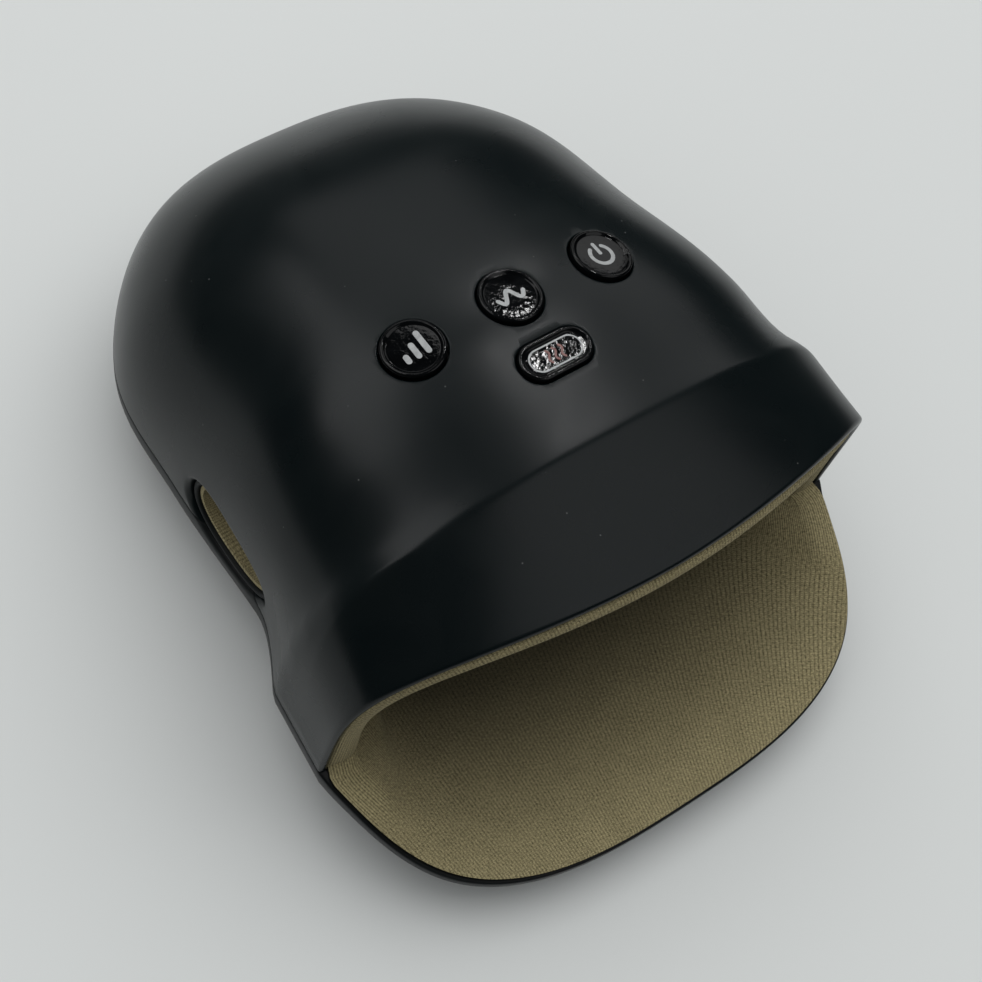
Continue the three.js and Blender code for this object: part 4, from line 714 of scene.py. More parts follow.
@dataclass(frozen=True)
class MouldedPlastic(Finish):
    """Moulded plastic with a fine grain, handling marks and a little dust."""

    colour: Colour = (0.0022, 0.0044, 0.005)
    pale: Colour = (0.0034, 0.006, 0.0066)
    rough: float = 0.26
    rougher: float = 0.32
    gloss: float = 0.22
    grain: float = 2600.0
    bumpiness: float = 0.12
    relief: float = 0.00004
    marks: float = 34.0
    dust: float = 0.05
    dust_scale: float = 400.0
    dust_cover: float = 0.55
    dust_colour: Colour = (0.16, 0.165, 0.16)

    def build(self, effects: Effects) -> bpy.types.Material:
        """Builds the material from the shared effects."""
        material, tree, shader = self.start()
        place = self.place(tree)
        grain = use_group(tree, effects.grain, Place=place, Grain_Scale=self.grain, Mark_Scale=self.marks)
        dust = use_group(tree, effects.dust, Place=place, Scale=self.dust_scale, Amount=self.dust)
        base = tree.mix(grain["Smudge"], rgba(self.colour), rgba(self.pale))
        speck = tree.math("MULTIPLY", dust["Mask"], self.dust_cover)
        tree.put(tree.mix(speck, base, rgba(self.dust_colour)), shader.inputs["Base Color"])
        tree.put(tree.ramp(grain["Smudge"], 0, 1, self.rough, self.rougher), shader.inputs["Roughness"])
        shader.inputs["Specular IOR Level"].default_value = self.gloss
        self.bump(tree, shader, grain["Height"], self.bumpiness, self.relief)
        return material


@dataclass(frozen=True)
class GlossyPlastic(Finish):
    """Polished plastic whose surface ripples a little, so that its highlights break up."""

    colour: Colour = (0.0022, 0.0026, 0.003)
    dark: Colour = (0.00132, 0.00156, 0.0018)
    rough: float = 0.05
    rougher: float = 0.1
    gloss: float = 0.22
    marks: float = 120.0
    ripple_scale: float = 750.0
    ripple: float = 1.0
    ripple_depth: float = 0.00006

    def build(self, effects: Effects) -> bpy.types.Material:
        """Builds the material from the shared effects."""
        material, tree, shader = self.start()
        place = self.place(tree)
        grain = use_group(tree, effects.grain, Place=place, Grain_Scale=self.ripple_scale,
                          Mark_Scale=self.marks)
        tree.put(tree.mix(grain["Smudge"], rgba(self.dark), rgba(self.colour)), shader.inputs["Base Color"])
        tree.put(tree.ramp(grain["Smudge"], 0, 1, self.rough, self.rougher), shader.inputs["Roughness"])
        shader.inputs["Specular IOR Level"].default_value = self.gloss
        self.bump(tree, shader, grain["Height"], self.ripple, self.ripple_depth)
        return material


@dataclass(frozen=True)
class KnitCloth(Finish):
    """Rib knit that follows the piece's own UV map, laid out in millimetres."""

    low: Colour = (0.064, 0.053, 0.024)
    high: Colour = (0.425, 0.362, 0.197)
    rib: float = 0.95
    stitch: float = 0.5
    bumpiness: float = 0.8
    depth: float = 0.00016
    tones: tuple[float, float] = (0.48, 1.02)
    rough: float = 0.95
    smoother: float = 0.82
    gloss: float = 0.2
    sheen: float = 0.12
    sheen_rough: float = 0.5
    sheen_tint: Colour = (0.75, 0.7, 0.55)
    # painted shade of the hand cavity: near-black colour, where it starts and ends in mm from the hem, and
    # the share of knit colour kept there
    backing: Colour = (0.012, 0.0105, 0.006)
    thick_until: float = 6.0
    thin_from: float = 54.0
    thick_share: float = 0.92
    thin_share: float = 0.22

    def build(self, effects: Effects) -> bpy.types.Material:
        """Builds the material; deeper in from the hem the knit is mixed towards a near-black colour, a
        painted shade of the hand cavity.
        """
        material, tree, shader = self.start()
        laid = tree.add("ShaderNodeUVMap", uv_map="cloth")
        along = tree.add("ShaderNodeAttribute", attribute_name="knit_along")
        gather = tree.add("ShaderNodeAttribute", attribute_name="knit_gather")
        knit = use_group(tree, effects.knit, Place=laid.outputs[0], Along=along.outputs["Fac"],
                         Gather=gather.outputs["Fac"], Rib=self.rib, Stitch=self.stitch)
        shade_of = tree.ramp(knit["Tone"], *self.tones)
        yarn = tree.mix(shade_of, rgba(self.low), rgba(self.high))
        # painted shade: the knit colour is mixed towards near-black from 6 mm to 54 mm in from the hem,
        # standing in for the cavity's shadow
        unshaded = tree.ramp(tree.math("ABSOLUTE", along.outputs["Fac"]), self.thick_until, self.thin_from,
                            self.thick_share, self.thin_share)
        tree.put(tree.mix(unshaded, rgba(self.backing), yarn), shader.inputs["Base Color"])
        tree.put(tree.ramp(knit["Tone"], 0, 1, self.rough, self.smoother), shader.inputs["Roughness"])
        shader.inputs["Sheen Weight"].default_value = self.sheen
        shader.inputs["Sheen Roughness"].default_value = self.sheen_rough
        shader.inputs["Sheen Tint"].default_value = rgba(self.sheen_tint)
        shader.inputs["Specular IOR Level"].default_value = self.gloss
        self.bump(tree, shader, knit["Height"], self.bumpiness, self.depth)
        return material


@dataclass(frozen=True)
class PrintedSign(Finish):
    """Opaque ink of a printed sign."""

    colour: Colour = (0.34, 0.35, 0.35)
    wear: float = 0.72
    rough: float = 0.35
    grain: float = 3200.0
    marks: float = 600.0
    bumpiness: float = 0.1
    relief: float = 0.00003

    def build(self, effects: Effects) -> bpy.types.Material:
        """Builds the material from the shared effects."""
        material, tree, shader = self.start()
        place = self.place(tree)
        grain = use_group(tree, effects.grain, Place=place, Grain_Scale=self.grain, Mark_Scale=self.marks)
        worn = tuple(self.wear * c for c in self.colour)
        tree.put(tree.mix(grain["Smudge"], rgba(self.colour), rgba(worn)), shader.inputs["Base Color"])
        shader.inputs["Roughness"].default_value = self.rough
        self.bump(tree, shader, grain["Height"], self.bumpiness, self.relief)
        return material


@dataclass(frozen=True)
class PlainPart(Finish):
    """Rubber, moulded plastic, film or metal of the hidden works."""

    colour: Colour = (0.5, 0.5, 0.5)
    wear: float = 0.78
    rough: float = 0.45
    rough_spread: float = 0.12
    metal: float = 0.0
    grain: float = 1500.0
    marks: float = 160.0
    bumpiness: float = 0.15
    relief: float = 0.00005
    drawn: bool = False
    draw_scale: tuple[float, float, float] = (0.06, 1.0, 1.0)

    def build(self, effects: Effects) -> bpy.types.Material:
        """Builds the material from the shared effects."""
        material, tree, shader = self.start()
        place = self.place(tree)
        if self.drawn:
            place = tree.add("ShaderNodeMapping", {"Vector": place, "Scale": self.draw_scale}).outputs[0]
        grain = use_group(tree, effects.grain, Place=place, Grain_Scale=self.grain, Mark_Scale=self.marks)
        worn = tuple(self.wear * c for c in self.colour)
        tree.put(tree.mix(grain["Smudge"], rgba(self.colour), rgba(worn)), shader.inputs["Base Color"])
        rough = tree.ramp(grain["Smudge"], 0, 1, self.rough, self.rough + self.rough_spread)
        tree.put(rough, shader.inputs["Roughness"])
        shader.inputs["Metallic"].default_value = self.metal
        self.bump(tree, shader, grain["Height"], self.bumpiness, self.relief)
        return material


@dataclass(frozen=True)
class CircuitBoard(Finish):
    """Solder mask over copper tracks."""

    colour: Colour = (0.012, 0.11, 0.045)
    track: Colour = (0.03, 0.2, 0.085)
    track_scale: float = 240.0
    track_gap: float = 0.03
    rough: float = 0.3
    grain: float = 2400.0
    marks: float = 300.0
    bumpiness: float = 0.2
    relief: float = 0.00004

    def build(self, effects: Effects) -> bpy.types.Material:
        """Builds the material from the shared effects."""
        material, tree, shader = self.start()
        place = self.place(tree)
        bricks = tree.add("ShaderNodeTexBrick", {
            "Vector": place, "Scale": self.track_scale, "Mortar Size": self.track_gap})
        grain = use_group(tree, effects.grain, Place=place, Grain_Scale=self.grain, Mark_Scale=self.marks)
        mask = tree.math("MULTIPLY", bricks.outputs["Fac"], grain["Smudge"])
        tree.put(tree.mix(mask, rgba(self.colour), rgba(self.track)), shader.inputs["Base Color"])
        shader.inputs["Roughness"].default_value = self.rough
        self.bump(tree, shader, mask, self.bumpiness, self.relief)
        return material


def build_finishes(effects: Effects) -> dict[str, bpy.types.Material]:
    """Builds every finish once, by its name."""
    finishes: list[Finish] = [
        MouldedPlastic("satin_cover", "cover_black"),
        MouldedPlastic("satin_base", "base_black", colour=(0.004, 0.0044, 0.005), rough=0.4,
                       rougher=0.48, dust=0.015),
        MouldedPlastic("matt_frame", "frame_black", colour=(0.006, 0.006, 0.0062), rough=0.5,
                       rougher=0.6, dust=0.01),
        GlossyPlastic("polished_cap", "cap_black"),
        KnitCloth("khaki_knit", "cloth_khaki"),
        PrintedSign("grey_sign", "cap_black"),
        PrintedSign("red_sign", "cap_black", colour=(0.17, 0.055, 0.045)),
        PlainPart("tray_plastic", "tray_white", colour=(0.6, 0.61, 0.62), rough=0.5),
        PlainPart("bag_film", "bag_grey", colour=(0.05, 0.053, 0.056), rough=0.35, grain=420.0,
                  bumpiness=0.3),
        PlainPart("amber_film", "film_amber", colour=(0.45, 0.15, 0.03), rough=0.25),
        CircuitBoard("green_board", "board_green"),
        PlainPart("pump_plastic", "pump_grey", colour=(0.05, 0.054, 0.058), rough=0.5),
        PlainPart("drawn_steel", "part_steel", colour=(0.52, 0.52, 0.5), rough=0.28, metal=1.0,
                  drawn=True),
        PlainPart("milky_silicone", "hose_clear", colour=(0.56, 0.58, 0.58), rough=0.35),
        PlainPart("blue_sleeve", "cell_blue", colour=(0.03, 0.16, 0.42), rough=0.3, metal=0.3),
        PlainPart("foot_rubber", "foot_grey", colour=(0.022, 0.022, 0.024), rough=0.75,
                  bumpiness=0.4),
    ]
    return {finish.name: finish.build(effects) for finish in finishes}


# Shapes made by geometry nodes


def build_sweep_tree() -> bpy.types.NodeTree:
    """Geometry nodes that sweep a profile round a superellipse or a stadium.

    The piece's own mesh is the profile: each vertex holds the margin from the outline in X and
    the height in Z, both in metres.
    """
    build = GroupBuilder("oval_sweep", "GeometryNodeTree", {
        "Geometry": ("Geometry",), "Half Length": ("Float", 0.005), "Half Width": ("Float", 0.005),
        "Straight": ("Float", 0.0), "Power": ("Float", 2.0), "Around": ("Int", 96), "Material": ("Material",),
    }, {"Geometry": ("Geometry",)})
    tree, given = build.tree, build.given
    size = tree.add("GeometryNodeAttributeDomainSize", {"Geometry": given["Geometry"]}, component="MESH")
    count = size.outputs["Point Count"]
    grid = tree.add("GeometryNodeMeshGrid", {
        "Vertices X": tree.math("ADD", given["Around"], 1), "Vertices Y": count})
    index = tree.add("GeometryNodeInputIndex").outputs[0]
    column = tree.math("FLOOR", tree.math("DIVIDE", tree.math("ADD", index, 0.5), count))
    row = tree.math("SUBTRACT", index, tree.math("MULTIPLY", column, count))
    spot = tree.add("GeometryNodeInputPosition").outputs[0]
    sample = tree.add("GeometryNodeSampleIndex", {"Geometry": given["Geometry"], "Value": spot, "Index": row},
                      data_type="FLOAT_VECTOR", domain="POINT")
    split = tree.add("ShaderNodeSeparateXYZ", {0: sample.outputs[0]})
    whole = tree.math("MULTIPLY", tree.math("ADD", column, 0.5), 2 * math.pi)
    turn = tree.math("DIVIDE", whole, given["Around"])
    share = tree.math("DIVIDE", 2.0, given["Power"])

    def reach(wave: str, half: str, straight: object) -> bpy.types.NodeSocket:
        """Coordinate of the outline along one axis."""
        value = tree.math(wave, turn)
        sign = tree.math("SIGN", value)
        curve = tree.math("POWER", tree.math("ABSOLUTE", value), share)
        length = tree.math("ADD", given[half], split.outputs[0])
        return tree.math("MULTIPLY", sign, tree.math("ADD", straight, tree.math("MULTIPLY", curve, length)))

    place = tree.add("ShaderNodeCombineXYZ", {
        0: reach("COSINE", "Half Length", given["Straight"]), 1: reach("SINE", "Half Width", 0.0),
        2: split.outputs[2]})
    moved = tree.add("GeometryNodeSetPosition", {
        "Geometry": grid.outputs["Mesh"], "Position": place.outputs[0]})
    merged = tree.add("GeometryNodeMergeByDistance", {"Geometry": moved.outputs[0], "Distance": 2e-7})
    return build.finish(Geometry=dressed(tree, merged.outputs[0], given["Material"]))


def dressed(tree: Tree, shape: bpy.types.NodeSocket, material: bpy.types.NodeSocket) -> bpy.types.NodeSocket:
    """Ends a geometry tree: the shape made real, in its material."""
    real = tree.add("GeometryNodeRealizeInstances", {0: shape})
    return tree.add("GeometryNodeSetMaterial", {"Geometry": real.outputs[0], "Material": material}).outputs[0]


def build_scatter_tree() -> bpy.types.NodeTree:
    """Geometry nodes that set one part on every point of the piece's mesh."""
    build = GroupBuilder("set_on_points", "GeometryNodeTree", {
        "Geometry": ("Geometry",), "Part": ("Object",), "Twist": ("Float", 0.7), "Material": ("Material",),
    }, {"Geometry": ("Geometry",)})
    tree, given = build.tree, build.given
    part = tree.add("GeometryNodeObjectInfo", {"Object": given["Part"]})
    back = tree.math("MULTIPLY", given["Twist"], -1.0)
    spin = tree.add("FunctionNodeRandomValue", {"Seed": 7, 2: back, 3: given["Twist"]}, data_type="FLOAT")
    angle = tree.add("ShaderNodeCombineXYZ", {2: spin.outputs[1]})
    spread = tree.add("GeometryNodeInstanceOnPoints", {
        "Points": given["Geometry"], "Instance": part.outputs["Geometry"], "Rotation": angle.outputs[0]})
    return build.finish(Geometry=dressed(tree, spread.outputs[0], given["Material"]))


def run_nodes(piece: bpy.types.Object, group: bpy.types.NodeTree, **values: object) -> None:
    """Runs a geometry group on a piece, with inputs by name with spaces as underscores."""
    modifier = piece.modifiers.new("nodes", "NODES")
    modifier.node_group = group
    for item in group.interface.items_tree:
        name = item.name.replace(" ", "_")
        if item.item_type == "SOCKET" and item.in_out == "INPUT" and name in values:
            modifier[item.identifier] = values[name]
    settle(piece)


@dataclass
class Workshop:
    """Finishes and node trees that the sub-assemblies share."""

    finishes: dict[str, bpy.types.Material]
    sweep: bpy.types.NodeTree
    scatter: bpy.types.NodeTree

    def swept(
        self, name: str, profile: Sequence[tuple[float, float]], finish: str, half_length: float,
        half_width: float, straight: float = 0.0, power: float = 2.0, around: int = 96,
    ) -> bpy.types.Object:
        """Sweeps a closed profile round an oval.

        Args:
            name: name of the piece.
            profile: margin and height pairs in millimetres, from pole to pole or as a loop.
            finish: name of the finish.
            half_length: half length of the outline along X.
            half_width: half width of the outline along Y.
            straight: half length of the straight middle.
            power: power of the superellipse.
            around: steps round the outline.

        Returns:
            The piece, about the origin.
        """
        points = np.array([(margin, 0.0, height) for margin, height in profile])
        piece = mesh_object(name, points, [])
        run_nodes(piece, self.sweep, Half_Length=half_length * MM, Half_Width=half_width * MM,
                  Straight=straight * MM, Power=power, Around=around, Material=self.finishes[finish])
        face_outwards(piece)
        shade(piece)
        return piece

    def spread(self, name: str, part: bpy.types.Object, places: np.ndarray, finish: str,
               twist: float) -> bpy.types.Object:
        """Sets a part on places and uses the part up.

        Args:
            name: name of the new piece.
            part: part about the origin.
            places: one row of three for each copy, in millimetres.
            finish: name of the finish.
            twist: largest random turn about Z in radians.

        Returns:
            One piece with all copies.
        """
        piece = mesh_object(name, places, [])
        run_nodes(piece, self.scatter, Part=part, Twist=twist, Material=self.finishes[finish])
        bpy.data.objects.remove(part)
        shade(piece)
        return piece

    def dress(self, piece: bpy.types.Object, finish: str) -> bpy.types.Object:
        """Gives a piece its finish."""
        piece.data.materials.clear()
        piece.data.materials.append(self.finishes[finish])
        return piece


def settle_in(piece: bpy.types.Object, slot: str, *nodes: str, body: Body = Body.HOUSING) -> None:
    """Rides a piece on its body and hides the nodes that it stands for."""
    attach(piece, body.value)
    if nodes:
        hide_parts(*nodes)
    LOG.info("%s rides on %s: %d faces", piece.name, body.value, len(piece.data.polygons))


# Housing


@dataclass(frozen=True)
class Spot:
    """Place of a push button on the skin, with the frame that it is pressed along."""

    centre: np.ndarray
    normal: np.ndarray
    side: np.ndarray
    ahead: np.ndarray

    @staticmethod
    def at(station: float, turn: float) -> "Spot":
        """Finds the frame of a button from its station and turn."""
        step, twist = FORM.crease_side / 100, 0.002
        along = FORM.skin(station + step, turn) - FORM.skin(station - step, turn)
        across = FORM.skin(station, turn + twist) - FORM.skin(station, turn - twist)
        normal = np.cross(across, along)
        normal /= np.linalg.norm(normal)
        side = np.cross((0.0, 1.0, 0.0), normal)
        side /= np.linalg.norm(side)
        return Spot(FORM.skin(station, turn), normal, side, np.cross(normal, side))

    def matrix(self) -> Matrix:
        """Matrix from the button's frame to the part's frame, in metres."""
        turn = Matrix([[self.side[i], self.ahead[i], self.normal[i]] for i in range(3)]).to_4x4()
        return Matrix.Translation(Vector(self.centre * MM)) @ turn

    def lift(self, outline: np.ndarray, skin: SmoothSkin, height: float) -> np.ndarray:
        """Lays an outline on the skin and lifts it along the normal."""
        points = []
        for u, v in outline:
            flat = self.centre + self.side * u + self.ahead * v
            start = Vector((flat + self.normal * 12) * MM)
            found = skin.hit(start, Vector(-self.normal))
            base = np.array(found) / MM if found is not None else flat
            points.append(base + self.normal * height)
        return np.array(points)


@dataclass(frozen=True)
class ButtonPlan:
    """Sizes of a push button and its hole."""

    body: Body
    spot: Spot
    hole_length: float
    hole_width: float
    straight: float
    cap_gap: float


def button_plans() -> list[ButtonPlan]:
    """Plans of the four push buttons."""
    side_turn = 1.3154
    round_hole = dict(hole_length=8.34, hole_width=8.34, straight=0.0, cap_gap=0.39)
    return [
        ButtonPlan(Body.LEVEL, Spot.at(62.4, side_turn), **round_hole),
        ButtonPlan(Body.MODE, Spot.at(62.9, math.pi / 2), **round_hole),
        ButtonPlan(Body.POWER, Spot.at(62.4, math.pi - side_turn), **round_hole),
        ButtonPlan(Body.HEAT, Spot.at(46.9, math.pi / 2), hole_length=5.6, hole_width=5.6,
                   straight=4.8, cap_gap=0.38),
    ]


@dataclass
class CaseScrews:
    """Places of the six case screws."""

    front: tuple[float, float] = (72.7, 20.0)
    middle: tuple[float, float] = (62.7, 102.0)
    rear: tuple[float, float] = (28.0, 146.0)
    web: float = 2.4
    fit: float = 0.3

    def places(self) -> list[tuple[str, float, float, float]]:
        """Name, X, Y and the seam's height of each screw."""
        found = []
        for end, (x, station) in (("front", self.front), ("middle", self.middle), ("rear", self.rear)):
            for side in Side:
                seam = float(FORM.seam(np.array(station)))
                found.append((f"{end}_{side.word}", side.value * x, FORM.mouth_y + station, seam))
        return found

    def head_top(self, seam: float) -> float:
        """Height of the shoulder that a screw's head bears on."""
        return seam - FORM.seam_gap - self.web - self.fit


@dataclass
class ThumbHole:
    """Thumb hole in each side, cut through cover and base with a rounded lip."""

    station: float = 60.3
    height: float = 37.3
    half_length: float = 17.9
    half_height: float = 10.35
    power: float = 2.4
    fillet: float = 1.7
    depth: float = 19.0
    steps: int = 132

    def outline(self, margin: float) -> np.ndarray:
        """Outline in Y and Z, widened by a margin."""
        flat = oval(self.half_length + margin, self.half_height + margin, self.power, self.steps)
        return flat + (FORM.mouth_y + self.station, self.height)

    def cutter(self, skin: SmoothSkin, side: Side) -> bpy.types.Object:
        """Tool that cuts the hole and rounds its lip.

        Args:
            skin: outer surface of cover and base on the right.
            side: side of the hole.

        Returns:
            The tool.
        """
        def ring(margin: float, lift: float) -> np.ndarray:
            """One ring at a margin, lifted from the skin."""
            flat = self.outline(margin)
            found = [skin.hit(Vector((0.12, y * MM, z * MM)), Vector((-1, 0, 0))) for y, z in flat]
            known = [i for i, hit in enumerate(found) if hit is not None]
            x = np.interp(np.arange(len(found)), known, [found[i].x / MM for i in known])
            return np.stack([side.value * (x + lift), flat[:, 0], flat[:, 1]], -1)

        rings = [ring(self.fillet + 0.9, 9.0), ring(self.fillet + 0.9, 0.22)]
        for angle in np.radians(np.linspace(12, 90, 9)):
            rings.append(ring(self.fillet * (1 - math.sin(angle)), -self.fillet * (1 - math.cos(angle))))
        deep = rings[-1].copy()
        deep[:, 0] = side.value * (FORM.waist - self.depth)
        rings.append(deep)
        return ring_solid("thumb_tool", rings)


@dataclass
class CoverShell:
    """Moulded cover with its rounded mouth lip, visor crease, button holes and thumb holes."""

    columns: int = 208
    visor_rows: int = 13
    body_rows: int = 86
    lip_steps: int = 9
    seam_round: float = 0.3
    hole_fillet: float = 0.45
    hole_steps: int = 120
    crease_band: float = 1.3
    crease_rows: tuple[float, ...] = (-0.8, -0.35, 0.0, 0.35, 0.8)
    jack_height: float = 36.0
    jack_round: float = 1.95
    jack_straight: float = 2.85
    jack_cuts: tuple[tuple[float, float], ...] = ((8, 1.2), (0.05, 1.2), (-0.45, 0.18), (-0.8, 0), (-9, 0))

    def stations(self, turns: np.ndarray, inset: float) -> np.ndarray:
        """Stations of the rows at each turn, closer together at the crease."""
        crease = FORM.crease(turns)
        lip = FORM.wall / 2
        band = self.crease_band
        front = lip + (crease - band - lip) * np.linspace(0, 1, self.visor_rows)[:, None]
        near = crease + np.array(self.crease_rows)[:, None]
        i = np.arange(self.body_rows)[:, None] / self.body_rows
        back = crease + band + (FORM.length - inset - crease - band) * np.sin(math.pi / 2 * i)
        return np.concatenate([front, near, back])

    def surface(self, inset: float) -> np.ndarray:
        """Grid of points at an inset, from the mouth to the rear."""
        turns = FORM.turns(self.columns)
        return FORM.skin(self.stations(turns, inset), turns, inset)

    def closed_shell(self) -> bpy.types.Object:
        """Shell with its wall, lip and seam faces, before any hole."""
        outer, inner = self.surface(0.0), self.surface(FORM.wall)
        rows, columns, _ = outer.shape
        turns = FORM.turns(self.columns)
        start = np.full(columns, FORM.wall / 2)
        ahead = FORM.skin(start - 0.05, turns, FORM.wall / 2) - FORM.skin(start + 0.05, turns, FORM.wall / 2)
        normal = outer[0] - inner[0]
        radius = np.linalg.norm(normal, axis=1, keepdims=True) / 2
        normal /= 2 * radius
        ahead -= (ahead * normal).sum(1, keepdims=True) * normal
        ahead /= np.linalg.norm(ahead, axis=1, keepdims=True)
        middle = (outer[0] + inner[0]) / 2
        lip = [middle + radius * (math.cos(a) * normal + math.sin(a) * ahead)
               for a in np.linspace(0, math.pi, self.lip_steps + 2)[1:-1]]
        stack = np.concatenate([outer[::-1], np.array(lip), inner])
        total = len(stack)
        tips = np.array([
            (0, FORM.mouth_y + FORM.length, FORM.seam_rear),
            (0, FORM.mouth_y + FORM.length - FORM.wall, FORM.seam_rear),
        ])
        faces: list[Sequence[int]] = list(grid_faces(total, columns))
        outer_tip, inner_tip = total * columns, total * columns + 1
        last = (total - 1) * columns
        for i in range(columns - 1):
            faces.append((i, outer_tip, i + 1))
            faces.append((last + i, last + i + 1, inner_tip))
        seam_edges: set[tuple[int, int]] = set()
        for column in (0, columns - 1):
            outer_side = [(rows - 1 - r) * columns + column for r in range(rows)]
            inner_side = [(rows + self.lip_steps + r) * columns + column for r in range(rows)]
            for r in range(rows - 1):
                faces.append((outer_side[r], outer_side[r + 1], inner_side[r + 1], inner_side[r]))
                seam_edges.add(tuple(sorted((outer_side[r], outer_side[r + 1]))))
            arc = [(rows + k) * columns + column for k in range(self.lip_steps)]
            faces.append([outer_side[0], *arc, inner_side[0]])
            faces.append((outer_side[-1], outer_tip, inner_tip, inner_side[-1]))
        piece = mesh_object("cover_skin", np.concatenate([stack.reshape(-1, 3), tips]), faces)
        return round_edges(piece, seam_edges, self.seam_round, segments=2)

    def button_tool(self, plan: ButtonPlan, skin: SmoothSkin) -> bpy.types.Object:
        """Tool that cuts a button's hole and rounds its edge."""
        def ring(margin: float, lift: float) -> np.ndarray:
            """One ring at a margin, lifted from the skin."""
            outline = oval(plan.hole_length + margin, plan.hole_width + margin, 2.0, self.hole_steps,
                           plan.straight)
            return plan.spot.lift(outline, skin, lift)

        fillet = self.hole_fillet
        rings = [ring(fillet + 0.3, 6.0), ring(fillet + 0.3, 0.1)]
        for angle in np.radians(np.linspace(14, 90, 6)):
            rings.append(ring(fillet * (1 - math.sin(angle)), -fillet * (1 - math.cos(angle))))
        rings.append(ring(0.0, -8.0))
        return ring_solid("button_tool", rings)

    def jack_tool(self) -> bpy.types.Object:
        """Tool that cuts the slot of the charging socket."""
        outline = oval(self.jack_round, self.jack_round, 2.0, 48, self.jack_straight)
        rear = FORM.mouth_y + FORM.length
        rings = []
        for behind, margin in self.jack_cuts:
            flat = outline + np.sign(outline) * margin
            y = np.full(len(flat), rear + behind)
            rings.append(np.stack([flat[:, 0], y, self.jack_height + flat[:, 1]], -1))
        return ring_solid("jack_tool", rings)

    def build(self, shop: Workshop, plans: Sequence[ButtonPlan], side_skin: SmoothSkin) -> bpy.types.Object:
        """Builds the cover and dresses it.

        Args:
            shop: finishes and node trees.
            plans: plans of the buttons.
            side_skin: outer surface of cover and base on the right.

        Returns:
            The cover.
        """
        skin = SmoothSkin(self.surface(0.0), flip=True)
        cover = self.closed_shell()
        tools = [self.button_tool(plan, skin) for plan in plans]
        tools += [ThumbHole().cutter(side_skin, side) for side in Side]
        tools.append(self.jack_tool())
        carve(cover, join("cover_tools", tools))
        cover.name = "cover_skin"
        shop.dress(cover, "satin_cover")
        smooth_over(cover, skin)
        settle_in(cover, "cover_black", "top_cover")
        return cover


@dataclass
class BaseShell:
    """Moulded base with its tongue, rounded rim, screw columns and recesses."""

    side_steps: int = 120
    tongue_steps: int = 190
    levels: int = 26
    rim_round: float = 0.55
    column_radius: float = 4.6
    head_radius: float = 3.1
    shank_radius: float = 1.8
    pad_radius: float = 6.3
    pad_recess: float = 0.9

    def rim(self) -> np.ndarray:
        """Rim as one closed loop: left side, rear, right side, then the tongue."""
        i = np.arange(self.side_steps) / self.side_steps
        stations = FORM.length * np.sin(math.pi / 2 * i)
        left = FORM.skin(stations, np.zeros_like(stations))
        left[:, 2] -= FORM.seam_gap
        rear = np.array([[0, FORM.mouth_y + FORM.length, FORM.seam_rear - FORM.seam_gap]])
        right = left[::-1] * (-1, 1, 1)
        turns = math.pi * np.arange(1, self.tongue_steps) / self.tongue_steps
        tongue = FORM.tongue(turns)
        tongue[:, 2] -= FORM.ledge * FORM.lap(turns)
        return np.concatenate([left, rear, right, tongue])

    def surface(self, depth: float) -> np.ndarray:
        """Grid of points at a depth, from the rim to the underside."""
        rim = self.rim()
        dips = math.pi / 2 * np.linspace(0, 1, self.levels)
        return np.array([FORM.bowl(rim, dip, depth) for dip in dips])

    def closed_shell(self) -> bpy.types.Object:
        """Shell with its wall and rim, before any hole."""
        outer, inner = self.surface(0.0), self.surface(FORM.wall)
        levels, count, _ = outer.shape
        centre_y = FORM.mouth_y + FORM.base_centre
        points = np.concatenate([
            outer[::-1].reshape(-1, 3), inner.reshape(-1, 3),
            [(0, centre_y, FORM.underside), (0, centre_y, FORM.underside + FORM.wall)],
        ])
        faces: list[Sequence[int]] = list(grid_faces(2 * levels, count, closed=True))
        tips = (2 * levels * count, 2 * levels * count + 1)
        last = (2 * levels - 1) * count
        rims: set[tuple[int, int]] = set()
        for i in range(count):
            j = (i + 1) % count
            faces.append((j, i, tips[0]))
            faces.append((last + i, last + j, tips[1]))
            for row in (levels - 1, levels):
                rims.add(tuple(sorted((row * count + i, row * count + j))))
        piece = mesh_object("base_skin", points, faces)
        return round_edges(piece, rims, self.rim_round, segments=3)

    def filled(self) -> bpy.types.Object:
        """Solid inside the outer surface, up to the rim."""
        outer = self.surface(0.15)[::3]
        return ring_solid("base_fill", list(outer[::-1]))

    def build(self, shop: Workshop, side_skin: SmoothSkin, pads: np.ndarray) -> bpy.types.Object:
        """Builds the base and dresses it.

        Args:
            shop: finishes and node trees.
            side_skin: outer surface of cover and base on the right.
            pads: places of the feet.

        Returns:
            The base.
        """
        screws = CaseScrews()
        skin = SmoothSkin(self.surface(0.0), closed=True, flip=True)
        base = self.closed_shell()
        columns = join("columns", [
            bar(x, y, 0.5, seam - FORM.seam_gap - 0.4, self.column_radius, 48)
            for _, x, y, seam in screws.places()
        ])
        carve(columns, self.filled(), "INTERSECT")
        carve(base, columns, "UNION")
        tools = [bar(x, y, -6, screws.head_top(seam), self.head_radius, 40)
                 for _, x, y, seam in screws.places()]
        tools += [bar(x, y, -6, FORM.underside + self.pad_recess, self.pad_radius, 56) for x, y in pads]
        carve(base, join("recess_tools", tools))
        shanks = [bar(x, y, 0.0, seam + 4, self.shank_radius, 32) for _, x, y, seam in screws.places()]
        shanks += [ThumbHole().cutter(side_skin, side) for side in Side]
        carve(base, join("shank_tools", shanks))
        base.name = "base_skin"
        shop.dress(base, "satin_base")
        smooth_over(base, skin)
        settle_in(base, "base_black", "base_shell")
        return base


